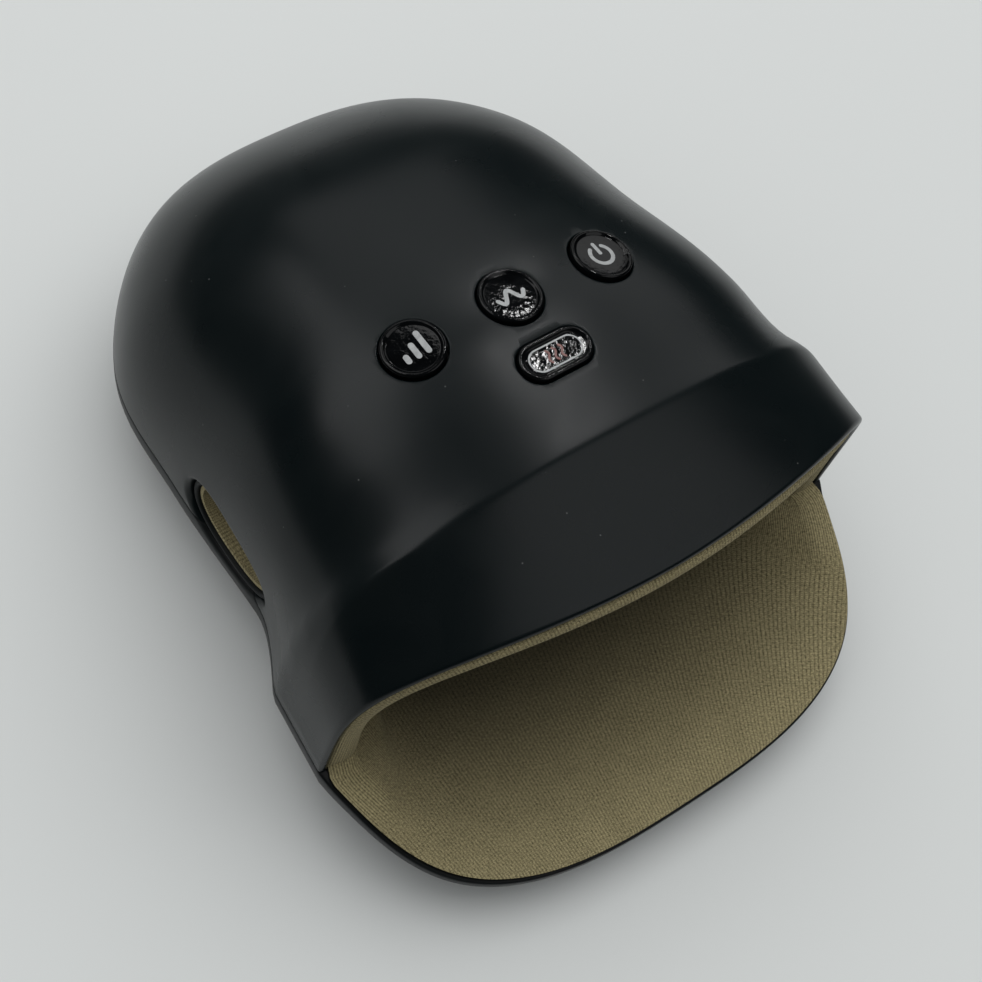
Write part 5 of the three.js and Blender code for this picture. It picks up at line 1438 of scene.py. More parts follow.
def right_side_skin() -> SmoothSkin:
    """Outer surface of cover and base on the right, without the gap of the seam."""
    turns = np.linspace(math.pi * 0.5, math.pi, 90)
    stations = np.linspace(30, 100, 100)
    upper = FORM.skin(stations[:, None], turns[None, :])
    rim = FORM.skin(stations, np.full_like(stations, math.pi))
    rim[:, 2] -= FORM.seam_gap
    dips = math.pi / 2 * np.linspace(0, 0.9, 24)
    lower = np.stack([FORM.bowl(rim, dip, 0.0) for dip in dips], 1)
    lower[:, 0, 2] += FORM.seam_gap
    return SmoothSkin(np.concatenate([upper, lower], 1))


# Lining


@dataclass
class Sleeve:
    """Knit lining from the rims of the mouth and the tongue into the closed hand cavity."""

    fit: float = 0.3
    thickness: float = 1.2
    half_width: float = 54.0
    middle: float = 30.0
    roof: float = 47.0
    floor: float = 17.0
    start: float = 46.0
    closing: float = 100.0
    end: float = 134.0
    width_power: float = 3.2
    height_power: float = 2.4
    closing_power: float = 2.4
    mouth_station: float = 1.0
    roll: float = 0.95
    foot_roll: float = 0.9
    lip_share: float = 0.17
    lip_top: float = 3.3
    lip_foot: float = 7.5
    lip_fade: float = 0.4
    softening: int = 24
    tail_rests: tuple[float, ...] = (0.0, 0.22, 0.62, 1.0)
    tail_inwards: tuple[float, ...] = (0.0, 0.14, 0.87, 1.0)
    tail_backs: tuple[float, ...] = (0.0, 0.17, 0.41, 1.0)
    dish: float = 4.5
    funnel_power: float = 1.8
    tongue_in: float = 1.25
    tongue_down: float = 2.4
    tongue_back: float = 1.1
    arch_steps: int = 210
    tongue_steps: int = 170
    path_rows: int = 108
    cavity_rows: int = 20
    bead: float = 0.55
    pleat_depth: float = 0.09
    pleat_pitch: float = 1.7
    pleat_reach: float = 12.0
    pleat_spread: float = 17.0
    pleat_start: float = 2.0
    port_margin: float = -1.6
    port_span: tuple[float, float] = (38.0, 66.0)
    least_share: float = 0.31
    gather_start: float = 13.0
    gather_end: float = 30.0
    grain_centre: tuple[float, float] = (-45.0, -220.0)
    grain_radius: float = 140.0

    def hem(self) -> tuple[np.ndarray, np.ndarray, np.ndarray]:
        """Hem of the cloth: the arch from left to right, then the tongue.

        Returns:
            Places, turns and whether each point is on the tongue.
        """
        inset = FORM.wall + self.fit + self.thickness / 2
        turns = FORM.turns(self.arch_steps)
        arch = FORM.skin(np.full_like(turns, self.mouth_station), turns, inset)
        back = math.pi * np.arange(1, self.tongue_steps) / self.tongue_steps
        tongue = FORM.tongue(back, inset + (FORM.lap_inset - inset) * FORM.lap(back))
        tongue[:, 1] += self.mouth_station * (1 - np.sin(back))
        on_tongue = np.concatenate([np.zeros(len(turns), bool), np.ones(len(back), bool)])
        return np.concatenate([arch, tongue]), np.concatenate([turns, back]), on_tongue

    def cavity(self, station: float, turns: np.ndarray, on_tongue: np.ndarray) -> np.ndarray:
        """Section of the hand cavity at a station."""
        t = np.clip((station - self.closing) / (self.end - self.closing), 0, 1)
        narrow = (1 - t ** self.closing_power) ** (1 / self.closing_power)
        c, s = np.cos(turns), np.abs(np.sin(turns))
        x = self.half_width * narrow * np.abs(c) ** (2 / self.width_power)
        rise = s ** (2 / self.height_power) * narrow
        return np.stack([
            np.where(on_tongue, 1, -1) * np.sign(c) * x,
            np.full_like(c, FORM.mouth_y + station),
            self.middle + np.where(on_tongue, self.floor - self.middle, self.roof - self.middle) * rise,
        ], -1)

    def rings(self) -> np.ndarray:
        """Middle surface of the cloth from the hem to the closed end."""
        hem, turns, on_tongue = self.hem()
        goal = self.cavity(self.start, turns, on_tongue)
        top = np.where(on_tongue, 0.0, np.sin(turns))[:, None]
        b = np.sqrt(np.where(on_tongue, np.sin(turns), 0.0))[:, None]
        fade = np.clip(np.sin(turns) / self.lip_fade, 0, 1)
        lip = np.where(on_tongue, 1 - fade * fade * (3 - 2 * fade), 1.0)[:, None]
        shares = np.linspace(0, 1, self.path_rows) ** 1.35
        rings = []
        for w in shares:
            def blend(power: float) -> np.ndarray:
                """Power of the funnel's curve at each point."""
                return self.funnel_power + (power - self.funnel_power) * b
            inwards = 1 - (1 - w) ** blend(self.tongue_in)
            down = 1 - (1 - w) ** blend(self.tongue_down)
            back = w ** blend(self.tongue_back)
            x = hem[:, :1] + (goal[:, :1] - hem[:, :1]) * inwards
            y = hem[:, 1:2] + (goal[:, 1:2] - hem[:, 1:2]) * back
            z = hem[:, 2:] + (goal[:, 2:] - hem[:, 2:]) * down - self.dish * b * 4 * w * (1 - w)
            funnel = np.concatenate([x, y, z], 1)
            rings.append(funnel + (self.lipped(w, hem, goal, turns, top) - funnel) * lip)
        path = np.array(rings)
        for _ in range(self.softening):
            path[1:-1] = (path[:-2] + 2 * path[1:-1] + path[2:]) / 4
        rings = list(path)
        closing = np.sin(math.pi / 2 * np.linspace(0, 1, self.cavity_rows + 1)[1:-1])
        for share in closing:
            rings.append(self.cavity(self.start + (self.end - self.start) * share, turns, on_tongue))
        return np.array(rings)

    def lipped(self, share: float, hem: np.ndarray, goal: np.ndarray, turns: np.ndarray,
               top: np.ndarray) -> np.ndarray:
        """Ring of the cloth where it runs over a rolled lip before it turns back.

        Args:
            share: part of the way from the hem to the cavity.
            hem: points of the hem.
            goal: points of the cavity's first ring.
            turns: turn of each point.
            top: 0 at the feet to 1 on the top of the arch.

        Returns:
            Points of the ring.
        """
        inward = (goal - hem) * (1, 0, 1)
        reach = np.linalg.norm(inward, axis=1, keepdims=True)
        width = self.lip_top + (self.lip_foot - self.lip_top) * np.cos(turns)[:, None] ** 4
        if share < self.lip_share:
            done = share / self.lip_share
            forward = (self.foot_roll + self.roll * top) * math.sin(math.pi * done) ** 0.8
            return hem + inward / reach * width * done - forward * np.array([0, 1, 0])
        rest = (share - self.lip_share) / (1 - self.lip_share)
        inwards = np.interp(rest, self.tail_rests, self.tail_inwards)
        points = hem + inward / reach * (width + (reach - width) * inwards)
        points[:, 1] += (goal[:, 1] - hem[:, 1]) * np.interp(rest, self.tail_rests, self.tail_backs)
        return points

    def normals(self, rings: np.ndarray) -> np.ndarray:
        """Normals of the middle surface that point away from the hand."""
        along = np.gradient(rings, axis=0)
        around = np.roll(rings, -1, axis=1) - np.roll(rings, 1, axis=1)
        normal = np.cross(around, along)
        normal /= np.maximum(np.linalg.norm(normal, axis=2, keepdims=True), 1e-9)
        probe = len(rings) - self.cavity_rows // 2
        outward = rings[probe, 0] - rings[probe].mean(0)
        return normal if normal[probe, 0] @ outward > 0 else -normal

    def pleat(self, rings: np.ndarray, normals: np.ndarray) -> np.ndarray:
        """Adds the fine pleats that gather at both foot corners."""
        hem, turns, on_tongue = self.hem()
        path = np.concatenate([[0], np.cumsum(np.linalg.norm(np.diff(rings, axis=0), axis=2).mean(1))])
        wave = np.sin(2 * math.pi * path / self.pleat_pitch)[:, None]
        fade = (np.exp(-((path / self.pleat_reach) ** 2)) * np.clip(path / self.pleat_start, 0, 1))[:, None]
        near = np.zeros(rings.shape[:2])
        for corner in (hem[0], hem[0] * (-1, 1, 1)):
            distance = np.linalg.norm(rings - corner, axis=2)
            near += np.exp(-((distance / self.pleat_spread) ** 2))
        return rings + normals * (self.pleat_depth * wave * fade * near)[:, :, None]

    def build(self, shop: Workshop) -> bpy.types.Object:
        """Builds the lining, cuts the thumb openings and lays its UV map out in millimetres."""
        rings = self.rings()
        rings = self.pleat(rings, self.normals(rings))
        normals = self.normals(rings)
        outer = rings + normals * self.thickness / 2
        inner = rings - normals * self.thickness / 2
        ahead = rings[0] - rings[1]
        bead = rings[0] + ahead / np.linalg.norm(ahead, axis=1, keepdims=True) * self.bead
        rows, count, _ = rings.shape
        stack = np.concatenate([outer[::-1], bead[None], inner])
        end_y = FORM.mouth_y + self.end
        half = self.thickness / 2
        tips = np.array([(0, end_y + lift, self.middle) for lift in (half, -half)])
        faces: list[Sequence[int]] = list(grid_faces(len(stack), count, closed=True))
        last = (len(stack) - 1) * count
        for i in range(count):
            j = (i + 1) % count
            faces.append((j, i, len(stack) * count))
            faces.append((last + i, last + j, len(stack) * count + 1))
        piece = mesh_object("knit_lining", np.concatenate([stack.reshape(-1, 3), tips]), faces)
        self.lay_out(piece, stack, count, self.hem()[2])
        face_outwards(piece, merge=0.0)
        hole = ThumbHole()
        tools = []
        for side in Side:
            flat = hole.outline(self.port_margin)
            tools.append(ring_solid("port_tool", [
                np.stack([np.full(len(flat), side.value * x), flat[:, 0], flat[:, 1]], -1)
                for x in self.port_span
            ]))
        carve(piece, join("port_tools", tools))
        piece.name = "knit_lining"
        shade(piece, 60)
        shop.dress(piece, "khaki_knit")
        settle_in(piece, "cloth_khaki", "fabric_sleeve")
        return piece

    @staticmethod
    def area(rings: np.ndarray) -> float:
        """Area of the middle surface in square millimetres."""
        nxt = np.roll(rings, -1, axis=1)
        a = nxt[:-1] - rings[:-1]
        b = rings[1:] - rings[:-1]
        return float(np.linalg.norm(np.cross(a, b), axis=2).sum())

    def lay_out(self, piece: bpy.types.Object, stack: np.ndarray, count: int, on_tongue: np.ndarray) -> None:
        """Writes a UV map in millimetres, with ribs across the hem of the arch and along the tongue.

        Args:
            piece: the cloth.
            stack: its rings, outer face, bead and inner face.
            count: points in each ring.
            on_tongue: which of them lie on the tongue.
        """
        hem = stack[len(stack) // 2]
        steps = np.linalg.norm(np.roll(hem, -1, axis=0) - hem, axis=1)
        around = np.concatenate([[0], np.cumsum(steps)])
        lengths = np.linalg.norm(np.diff(stack, axis=0), axis=2)
        along = np.concatenate([np.zeros((1, count)), np.cumsum(lengths, axis=0)])
        along -= along[len(stack) // 2]
        layer = piece.data.uv_layers.new(name="cloth")
        total = len(stack) * count
        values = np.zeros((len(piece.data.loops), 2))
        vertex = np.array([loop.vertex_index for loop in piece.data.loops])
        inside = vertex < total
        values[inside, 0] = around[vertex[inside] % count] + hem[0, 0]
        values[inside, 1] = along[vertex[inside] // count, vertex[inside] % count]
        flat = stack.reshape(-1, 3)
        for poly in piece.data.polygons:
            loops = list(poly.loop_indices)
            columns = vertex[loops] % count
            if on_tongue[columns].any() and vertex[loops].max() < total:
                lean = flat[vertex[loops], :2] - self.grain_centre
                values[loops, 0] = self.grain_radius * np.arctan2(lean[:, 0], lean[:, 1])
                values[loops, 1] = np.hypot(lean[:, 0], lean[:, 1])
            tip = [loop for loop in loops if vertex[loop] >= total]
            if tip:
                rest = [loop for loop in loops if vertex[loop] < total]
                values[tip[0]] = values[rest].mean(0)
        layer.data.foreach_set("uv", values.ravel())
        feet = (hem[0], hem[0] * (-1, 1, 1))
        near = np.min([np.linalg.norm(flat - foot, axis=1) for foot in feet], axis=0)
        ease = np.clip((self.gather_end - near) / (self.gather_end - self.gather_start), 0, 1)
        tips = np.zeros(len(piece.data.vertices) - total)
        for name, field in (("knit_along", along.ravel()), ("knit_gather", ease * ease * (3 - 2 * ease))):
            record = piece.data.attributes.new(name, "FLOAT", "POINT")
            record.data.foreach_set("value", np.concatenate([field, tips]))


@dataclass
class ThumbTrim:
    """Moulded ring and cloth tube in each thumb hole."""

    ring_wall: float = 1.6
    outer_face: float = 70.0
    inner_face: float = 58.1
    flange_width: float = 3.0
    flange_thickness: float = 1.4
    flange_face: float = 66.2
    port_face: float = 69.0
    port_inner: float = 45.8
    cloth: float = 1.2
    fit: float = 0.3

    def to_side(self, piece: bpy.types.Object, side: Side) -> None:
        """Turns a piece swept about Z so that its Z points out of the hole."""
        hole = ThumbHole()
        turn = Matrix(((0, 0, side.value), (side.value, 0, 0), (0, 1, 0))).to_4x4()
        place = Matrix.Translation(Vector((0, FORM.mouth_y + hole.station, hole.height)) * MM)
        piece.data.transform(place @ turn)
        piece.data.update()

    def ring(self, shop: Workshop, side: Side) -> bpy.types.Object:
        """Ring with its clamping flange."""
        hole = ThumbHole()
        inner, outer = -self.fit - self.ring_wall, -self.fit
        low, high = self.inner_face, self.outer_face
        step = self.flange_face - self.flange_thickness
        profile = [(inner, low), (outer, low), (outer, step), (self.flange_width, step),
                   (self.flange_width, self.flange_face), (outer, self.flange_face), (outer, high - 0.6)]
        profile += [(outer - self.ring_wall / 2 * (1 - math.cos(a)), high - 0.6 + 0.6 * math.sin(a))
                    for a in np.linspace(0.2, math.pi - 0.2, 9)]
        profile += [(inner, high - 0.6), (inner, low)]
        piece = shop.swept(f"thumb_trim_{side.word}", profile, "matt_frame", hole.half_length,
                           hole.half_height, power=hole.power, around=128)
        self.to_side(piece, side)
        settle_in(piece, "frame_black", f"thumb_ring_{side.word}")
        return piece

    def port(self, shop: Workshop, side: Side) -> bpy.types.Object:
        """Cloth tube with slack ripples."""
        hole = ThumbHole()
        outer = -2 * self.fit - self.ring_wall
        rows, steps = 40, 160
        heights = np.linspace(self.port_inner, self.port_face, rows)
        rings = []
        for sign, margin in ((1, outer), (-1, outer - self.cloth)):
            for height in heights[::sign]:
                flat = oval(hole.half_length + margin, hole.half_height + margin, hole.power, steps)
                angle = np.arctan2(flat[:, 1], flat[:, 0])
                depth = np.clip((self.port_face - height) / 6, 0, 1)
                ripple = 0.35 * depth * np.sin(9 * angle + height * 0.55)
                away = flat / np.linalg.norm(flat, axis=1, keepdims=True)
                flat = flat - away * np.abs(ripple)[:, None]
                rings.append(np.stack([flat[:, 0], flat[:, 1], np.full(steps, height)], -1))
        stack = np.array(rings)
        points = stack.reshape(-1, 3)
        faces = grid_faces(len(stack), steps, closed=True)
        last = (len(stack) - 1) * steps
        faces += [(last + i, last + (i + 1) % steps, (i + 1) % steps, i) for i in range(steps)]
        piece = mesh_object(f"thumb_cloth_{side.word}", points, faces)
        layer = piece.data.uv_layers.new(name="cloth")
        girth = 2 * math.pi * math.sqrt((hole.half_length ** 2 + hole.half_height ** 2) / 2)
        values = []
        for poly in piece.data.polygons:
            columns = [v % steps for v in poly.vertices]
            wraps = max(columns) - min(columns) > steps / 2
            for v, column in zip(poly.vertices, columns):
                share = (steps if wraps and column == 0 else column) / steps
                values += [share * girth, points[v][2]]
        layer.data.foreach_set("uv", values)
        self.to_side(piece, side)
        face_outwards(piece, merge=0.0)
        shade(piece, 60)
        shop.dress(piece, "khaki_knit")
        settle_in(piece, "cloth_khaki", f"thumb_port_{side.word}")
        return piece

    def build(self, shop: Workshop) -> None:
        """Builds both sides."""
        for side in Side:
            self.ring(shop, side)
            self.port(shop, side)


# Controls


def stroke(points: np.ndarray, width: float, closed: bool = False) -> tuple[np.ndarray, list[list[int]]]:
    """Flat ribbon of even width along a path, with round ends.

    Args:
        points: path in two coordinates.
        width: width of the ribbon.
        closed: whether the path closes on itself.

    Returns:
        Points in two coordinates, and faces.
    """
    if closed:
        ahead = np.roll(points, -1, axis=0) - np.roll(points, 1, axis=0)
    else:
        ahead = np.gradient(points, axis=0)
    ahead /= np.linalg.norm(ahead, axis=1, keepdims=True)
    across = np.stack([-ahead[:, 1], ahead[:, 0]], -1) * width / 2
    left, right = points + across, points - across
    count = len(points)
    if closed:
        faces = [[i, (i + 1) % count, count + (i + 1) % count, count + i] for i in range(count)]
        return np.concatenate([left, right]), faces

    def end(centre: np.ndarray, start: np.ndarray, way: int) -> np.ndarray:
        """Half circle round an end of the path."""
        base = math.atan2(start[1], start[0])
        angles = base + way * np.linspace(0, math.pi, 9)[1:-1]
        return centre + width / 2 * np.stack([np.cos(angles), np.sin(angles)], -1)

    outline = np.concatenate([
        left, end(points[-1], across[-1], -1), right[::-1], end(points[0], -across[0], -1),
    ])
    return outline, [list(range(len(outline)))]


@dataclass
class Controls:
    """Four push buttons with their printed signs."""

    rise: float = 0.9
    dish: float = 0.4
    rim_width: float = 1.7
    rim_start: float = 0.35
    rim_share: float = 0.42
    skirt: float = 4.3
    flange_width: float = 1.0
    flange_thickness: float = 1.0
    stem_radius: float = 1.6
    travel: float = 0.6
    stem_clearance: float = 0.05
    switch_top: float = 88.3
    sign_height: float = 0.05

    def profile(self, plan: ButtonPlan, radius: float) -> list[tuple[float, float]]:
        """Profile of a cap from the foot of its stem to the middle of its dish."""
        reach = (plan.spot.centre[2] - self.switch_top) / plan.spot.normal[2] - self.travel
        reach -= self.stem_clearance + self.stem_radius * float(np.hypot(*plan.spot.normal[:2]))
        low = -self.skirt - self.flange_thickness
        stem = -radius + self.stem_radius
        flange = self.flange_width
        points = [(-radius, -reach), (stem - 0.3, -reach), (stem, -reach + 0.3), (stem, low), (flange, low),
                  (flange, -self.skirt), (0.0, -self.skirt), (0.0, self.rim_start)]
        rim, crown, depth = self.rim_width, self.rim_share, self.rise - self.rim_start
        for angle in np.linspace(0.12, 0.5 * math.pi, 8):
            points.append((-crown * rim * (1 - math.cos(angle)), self.rim_start + depth * math.sin(angle)))
        fall = self.rise - self.dish
        for share in np.linspace(0.08, 1, 10):
            drop = fall * (1 - math.cos(math.pi * share)) / 2
            points.append((-rim * (crown + (1 - crown) * share), self.rise - drop))
        points += [(-radius * 0.6, self.dish), (-radius, self.dish)]
        return points

    def sign(self, shop: Workshop, plan: ButtonPlan, name: str, finish: str,
             parts: Sequence[tuple[np.ndarray, list[list[int]]]]) -> None:
        """Lays flat strokes on a cap's dish as thin printed shapes."""
        pieces = []
        for points, faces in parts:
            flat = np.stack([points[:, 0], points[:, 1], np.full(len(points), self.dish + 0.004)], -1)
            piece = mesh_object("stroke", flat, faces)
            solid = piece.modifiers.new("ink", "SOLIDIFY")
            solid.thickness = self.sign_height * MM
            solid.offset = 1.0 if piece.data.polygons[0].normal.z > 0 else -1.0
            pieces.append(settle(piece))
        piece = join(name, pieces)
        face_outwards(piece)
        piece.data.transform(plan.spot.matrix())
        shade(piece, 30)
        shop.dress(piece, finish)
        settle_in(piece, "cap_black", body=plan.body)

    @staticmethod
    def bars() -> list[tuple[np.ndarray, list[list[int]]]]:
        """Three rising bars."""
        made = []
        for x, height in ((-2.75, 2.1), (0.0, 4.2), (2.75, 6.3)):
            path = np.stack([np.full(4, x), np.linspace(-2.9 + 0.4, -2.9 + height - 0.4, 4)], -1)
            made.append(stroke(path, 1.5))
        return made

    @staticmethod
    def power_mark() -> list[tuple[np.ndarray, list[list[int]]]]:
        """Open ring with a bar in its gap."""
        angle = np.radians(np.linspace(90 + 38, 450 - 38, 48))
        ring = 2.95 * np.stack([np.cos(angle), np.sin(angle)], -1)
        line = np.stack([np.zeros(4), np.linspace(0.5, 3.5, 4)], -1)
        return [stroke(ring, 1.05), stroke(line, 1.05)]

    @staticmethod
    def pulse_mark() -> list[tuple[np.ndarray, list[list[int]]]]:
        """Pulse wave that stands for the choice of rhythm."""
        x = np.linspace(-3.7, 3.7, 72)
        y = 1.7 * np.sin(x / 3.7 * 1.5 * math.pi + math.pi / 2) * np.exp(-((x / 7.0) ** 2))
        return [stroke(np.stack([x, y], -1), 1.1)]

    @staticmethod
    def heat_mark() -> list[tuple[np.ndarray, list[list[int]]]]:
        """Three wavy lines of rising warmth."""
        made = []
        for x in (-1.9, 0.0, 1.9):
            y = np.linspace(-1.65, 1.65, 28)
            made.append(stroke(np.stack([x + 0.42 * np.sin(y / 1.65 * math.pi), y], -1), 0.6))
        return made

    def build(self, shop: Workshop, plans: Sequence[ButtonPlan]) -> None:
        """Builds the caps and their signs."""
        for plan in plans:
            radius = plan.hole_width - plan.cap_gap
            name = f"button_{plan.body.value[4:]}"
            cap = shop.swept(name, self.profile(plan, radius), "polished_cap", radius, radius,
                             straight=plan.straight, around=144)
            cap.data.transform(plan.spot.matrix())
            cap.data.update()
            settle_in(cap, "cap_black", plan.body.value, body=plan.body)
        level, mode, power, heat = plans
        self.sign(shop, level, "sign_level", "grey_sign", self.bars())
        self.sign(shop, mode, "sign_mode", "grey_sign", self.pulse_mark())
        self.sign(shop, power, "sign_power", "grey_sign", self.power_mark())
        self.sign(shop, heat, "sign_heat", "red_sign", self.heat_mark())
        outline = oval(2.95, 2.95, 2.0, 96, heat.straight - 0.5)
        self.sign(shop, heat, "sign_heat_outline", "grey_sign", [stroke(outline, 0.42, closed=True)])


# Small parts


@dataclass
class Fasteners:
    """Case screws with cross recesses, and rubber feet."""

    shank: float = 1.5
    head: float = 2.8
    head_height: float = 2.0
    length: float = 15.0
    pitch: float = 1.0
    foot_radius: float = 6.0
    foot_height: float = 2.6
    foot_edge: float = 0.5
    foot_x: float = 38.0
    foot_stations: tuple[float, float] = (-14.0, 118.0)

    def foot_places(self) -> np.ndarray:
        """Places of the feet in X and Y."""
        return np.array([
            (side.value * self.foot_x, FORM.mouth_y + station)
            for station in self.foot_stations for side in Side
        ])

    def screw(self, shop: Workshop) -> bpy.types.Object:
        """One screw that points up, with its head's shoulder at zero."""
        base = self.shank
        profile = [(-base, -self.head_height)]
        bulge = self.head - base
        for angle in np.linspace(0.3, 1, 7) * math.pi / 2:
            profile.append((bulge - 0.88 * (1 - math.sin(angle)),
                            -self.head_height + 0.9 * (1 - math.cos(angle))))
        profile += [(bulge, 0.0), (0.0, 0.0)]
        turns = int((self.length - 2) / self.pitch)
        for i in range(turns):
            low = 0.8 + i * self.pitch
            profile += [(-0.32, low), (0.0, low + self.pitch / 2)]
        profile += [(-0.35, self.length - 1.0), (-base, self.length)]
        piece = shop.swept("screw_part", profile, "drawn_steel", base, base, around=28)
        cross = self.block(1.7, 0.36)
        carve(cross, self.block(0.36, 1.7), "UNION")
        carve(piece, cross)
        return piece

    def block(self, half_x: float, half_y: float) -> bpy.types.Object:
        """Tapered block of the cross recess."""
        low, high = -self.head_height - 1, -self.head_height + 1.2
        corners = np.array([(-1, -1), (1, -1), (1, 1), (-1, 1)], float) * (half_x, half_y)
        rings = [np.column_stack([corners * scale, np.full(4, z)]) for z, scale in ((low, 1.25), (high, 0.6))]
        return ring_solid("recess", rings)

    def build(self, shop: Workshop) -> None:
        """Builds the case screws and the feet."""
        screws = CaseScrews()
        places = np.array([(x, y, screws.head_top(seam) - screws.fit) for _, x, y, seam in screws.places()])
        names = [f"case_screw_{name}" for name, *_ in screws.places()]
        piece = shop.spread("case_screws", self.screw(shop), places, "drawn_steel", 0.7)
        settle_in(piece, "part_steel", *names)
        radius = self.foot_radius
        profile = [(-radius, 0.0)]
        for ring in (1.6, 3.0, 4.4):
            profile += [(ring - radius - 0.18, 0.0), (ring - radius, 0.16), (ring - radius + 0.18, 0.0)]
        edge = self.foot_edge
        profile += [(edge * (math.sin(a) - 1), edge * (1 - math.cos(a)))
                    for a in np.linspace(0, math.pi / 2, 7)]
        profile += [(0.0, self.foot_height), (-radius, self.foot_height)]
        foot = shop.swept("foot_part", profile, "foot_rubber", radius, radius, around=64)
        spots = np.array([(x, y, 0.0) for x, y in self.foot_places()])
        piece = shop.spread("rubber_feet", foot, spots, "foot_rubber", 0.0)
        settle_in(piece, "foot_grey",
                  *[f"foot_{end}_{side.word}" for end in ("front", "rear") for side in Side])


@dataclass
class ChargeSocket:
    """Metal shell of the charging socket with its tongue and contacts."""

    height: float = 36.0
    half_width: float = 4.5
    half_height: float = 1.65
    length: float = 8.0
    setback: float = 1.6
    wall: float = 0.35

    def build(self, shop: Workshop) -> None:
        """Builds the shell, the tongue and the small board."""
        radius = self.half_height
        straight = self.half_width - radius
        end = FORM.mouth_y + FORM.length - self.setback
        profile = [(0.0, 0.0), (0.0, self.length - 0.12), (-0.1, self.length), (-self.wall, self.length),
                   (-self.wall, 1.0), (-radius, 1.0), (-radius, 0.0)]
        shell = shop.swept("socket_shell", profile[::-1], "drawn_steel", radius, radius,
                           straight=straight, around=64)
        shell.data.transform(Matrix.Translation(Vector((0, end - self.length, self.height)) * MM)
                             @ Matrix(((1, 0, 0), (0, 0, 1), (0, -1, 0))).to_4x4())
        face_outwards(shell)
        tongue_ring = oval(3.3, 0.34, 6.0, 32)
        tongue = ring_solid("socket_tongue", [
            np.stack([tongue_ring[:, 0], np.full(32, y), self.height + tongue_ring[:, 1]], -1)
            for y in (end - self.length + 1.1, end - 1.0)
        ])
        contacts = np.array([(x, end - 2.6, self.height + 0.36) for x in np.linspace(-2.6, 2.6, 8)])
        strip = ring_solid("contact", [
            np.array([(-0.12, y, -0.03), (0.12, y, -0.03), (0.12, y, 0.03), (-0.12, y, 0.03)])
            for y in (-1.5, 1.5)
        ])
        pins = shop.spread("socket_contacts", strip, contacts, "drawn_steel", 0.0)
        shop.dress(tongue, "pump_plastic")
        board = self.board(end)
        shop.dress(board, "green_board")
        for piece in (shell, tongue, board):
            shade(piece, 40)
        settle_in(shell, "part_steel", "charge_jack")
        settle_in(tongue, "pump_grey")
        settle_in(pins, "part_steel")
        settle_in(board, "board_green")

    def board(self, end: float) -> bpy.types.Object:
        """Small board under the socket."""
        top = self.height - self.half_height
        outline = oval(8.7, 5.85, 14.0, 48)
        centre = end - FORM.wall - 0.3 - 5.85
        return ring_solid("socket_board", [
            np.column_stack([outline + (0, centre), np.full(48, z)]) for z in (top - 1.2, top - 0.02)
        ])


@dataclass
class AirBags:
    """Soft air bags over and under the hand."""

    half_width: float = 44.0
    start: float = 52.0
    end: float = 122.0
    weld: float = 0.35
    hem: float = 3.8

    def pillow(self, name: str, bottom: float, thickness: float) -> bpy.types.Object:
        """Crowned pillow with a flat welded hem."""
        middle_y = FORM.mouth_y + (self.start + self.end) / 2
        half_y = (self.end - self.start) / 2
        shares = np.concatenate([np.linspace(0, 0.9, 12), [0.94, 0.97, 0.99, 1.0]])
        rings = []
        for sign in (1, -1):
            for share in (shares[::-1] if sign > 0 else shares):
                outline = oval(self.half_width * share, half_y * share, 5.0, 96)
                crown = (1 - share ** 4) ** 0.6
                quilt = 0.94 + 0.06 * np.cos(outline[:, 1] / 9.0)
                z = bottom + thickness / 2 - sign * (self.weld + (thickness / 2 - self.weld) * crown * quilt)
                rings.append(np.column_stack([outline[:, 0], outline[:, 1] + middle_y, z]))
        hem = oval(self.half_width + self.hem, half_y + self.hem, 6.0, 96)
        edge = bottom + thickness / 2
        front = [np.column_stack([hem[:, 0], hem[:, 1] + middle_y, np.full(96, edge + lift)])
                 for lift in (-self.weld, self.weld)]
        under, over = rings[:len(shares)], rings[len(shares):]
        return ring_solid(name, under[::-1] + front + over[::-1])

    def build(self, shop: Workshop) -> None:
        """Builds both bags."""
        for name, node, bottom, thickness in (
            ("soft_bag_upper", "upper_airbag", 48.8, 6.8), ("soft_bag_lower", "lower_airbag", 9.7, 6.2),
        ):
            piece = self.pillow(name, bottom, thickness)
            shade(piece, 50)
            shop.dress(piece, "bag_film")
            settle_in(piece, "bag_grey", node)


@dataclass
class HiddenWorks:
    """Finishes of the CAD nodes that stay as they are."""

    finishes: dict[str, tuple[str, ...]] = field(default_factory=lambda: {
        "matt_frame": ("mouth_frame_top", "mouth_frame_base"),
        "tray_plastic": ("upper_tray", "lower_tray", "air_manifold", "cell_clamp_left", "cell_clamp_right"),
        "amber_film": ("heating_film",),
        "green_board": ("button_board", "main_board"),
        "pump_plastic": ("pump_head", "valve_upper", "valve_lower"),
        "drawn_steel": ("pump_motor", "pump_rotor", "plunger_upper", "plunger_lower",
                        "tray_screw_front_left", "tray_screw_front_right", "tray_screw_rear_left",
                        "tray_screw_rear_right", "board_screw_left", "board_screw_right",
                        "board_screw_front"),
        "milky_silicone": ("hose_pump", "hose_upper", "hose_lower"),
        "blue_sleeve": ("battery_cell_left", "battery_cell_right"),
    })

    def build(self, shop: Workshop) -> None:
        """Dresses the nodes."""
        for finish, names in self.finishes.items():
            for name in names:
                shop.dress(NODES[name], finish)
                LOG.info("%s keeps its solid and takes %s", name, finish)


# Set and camera


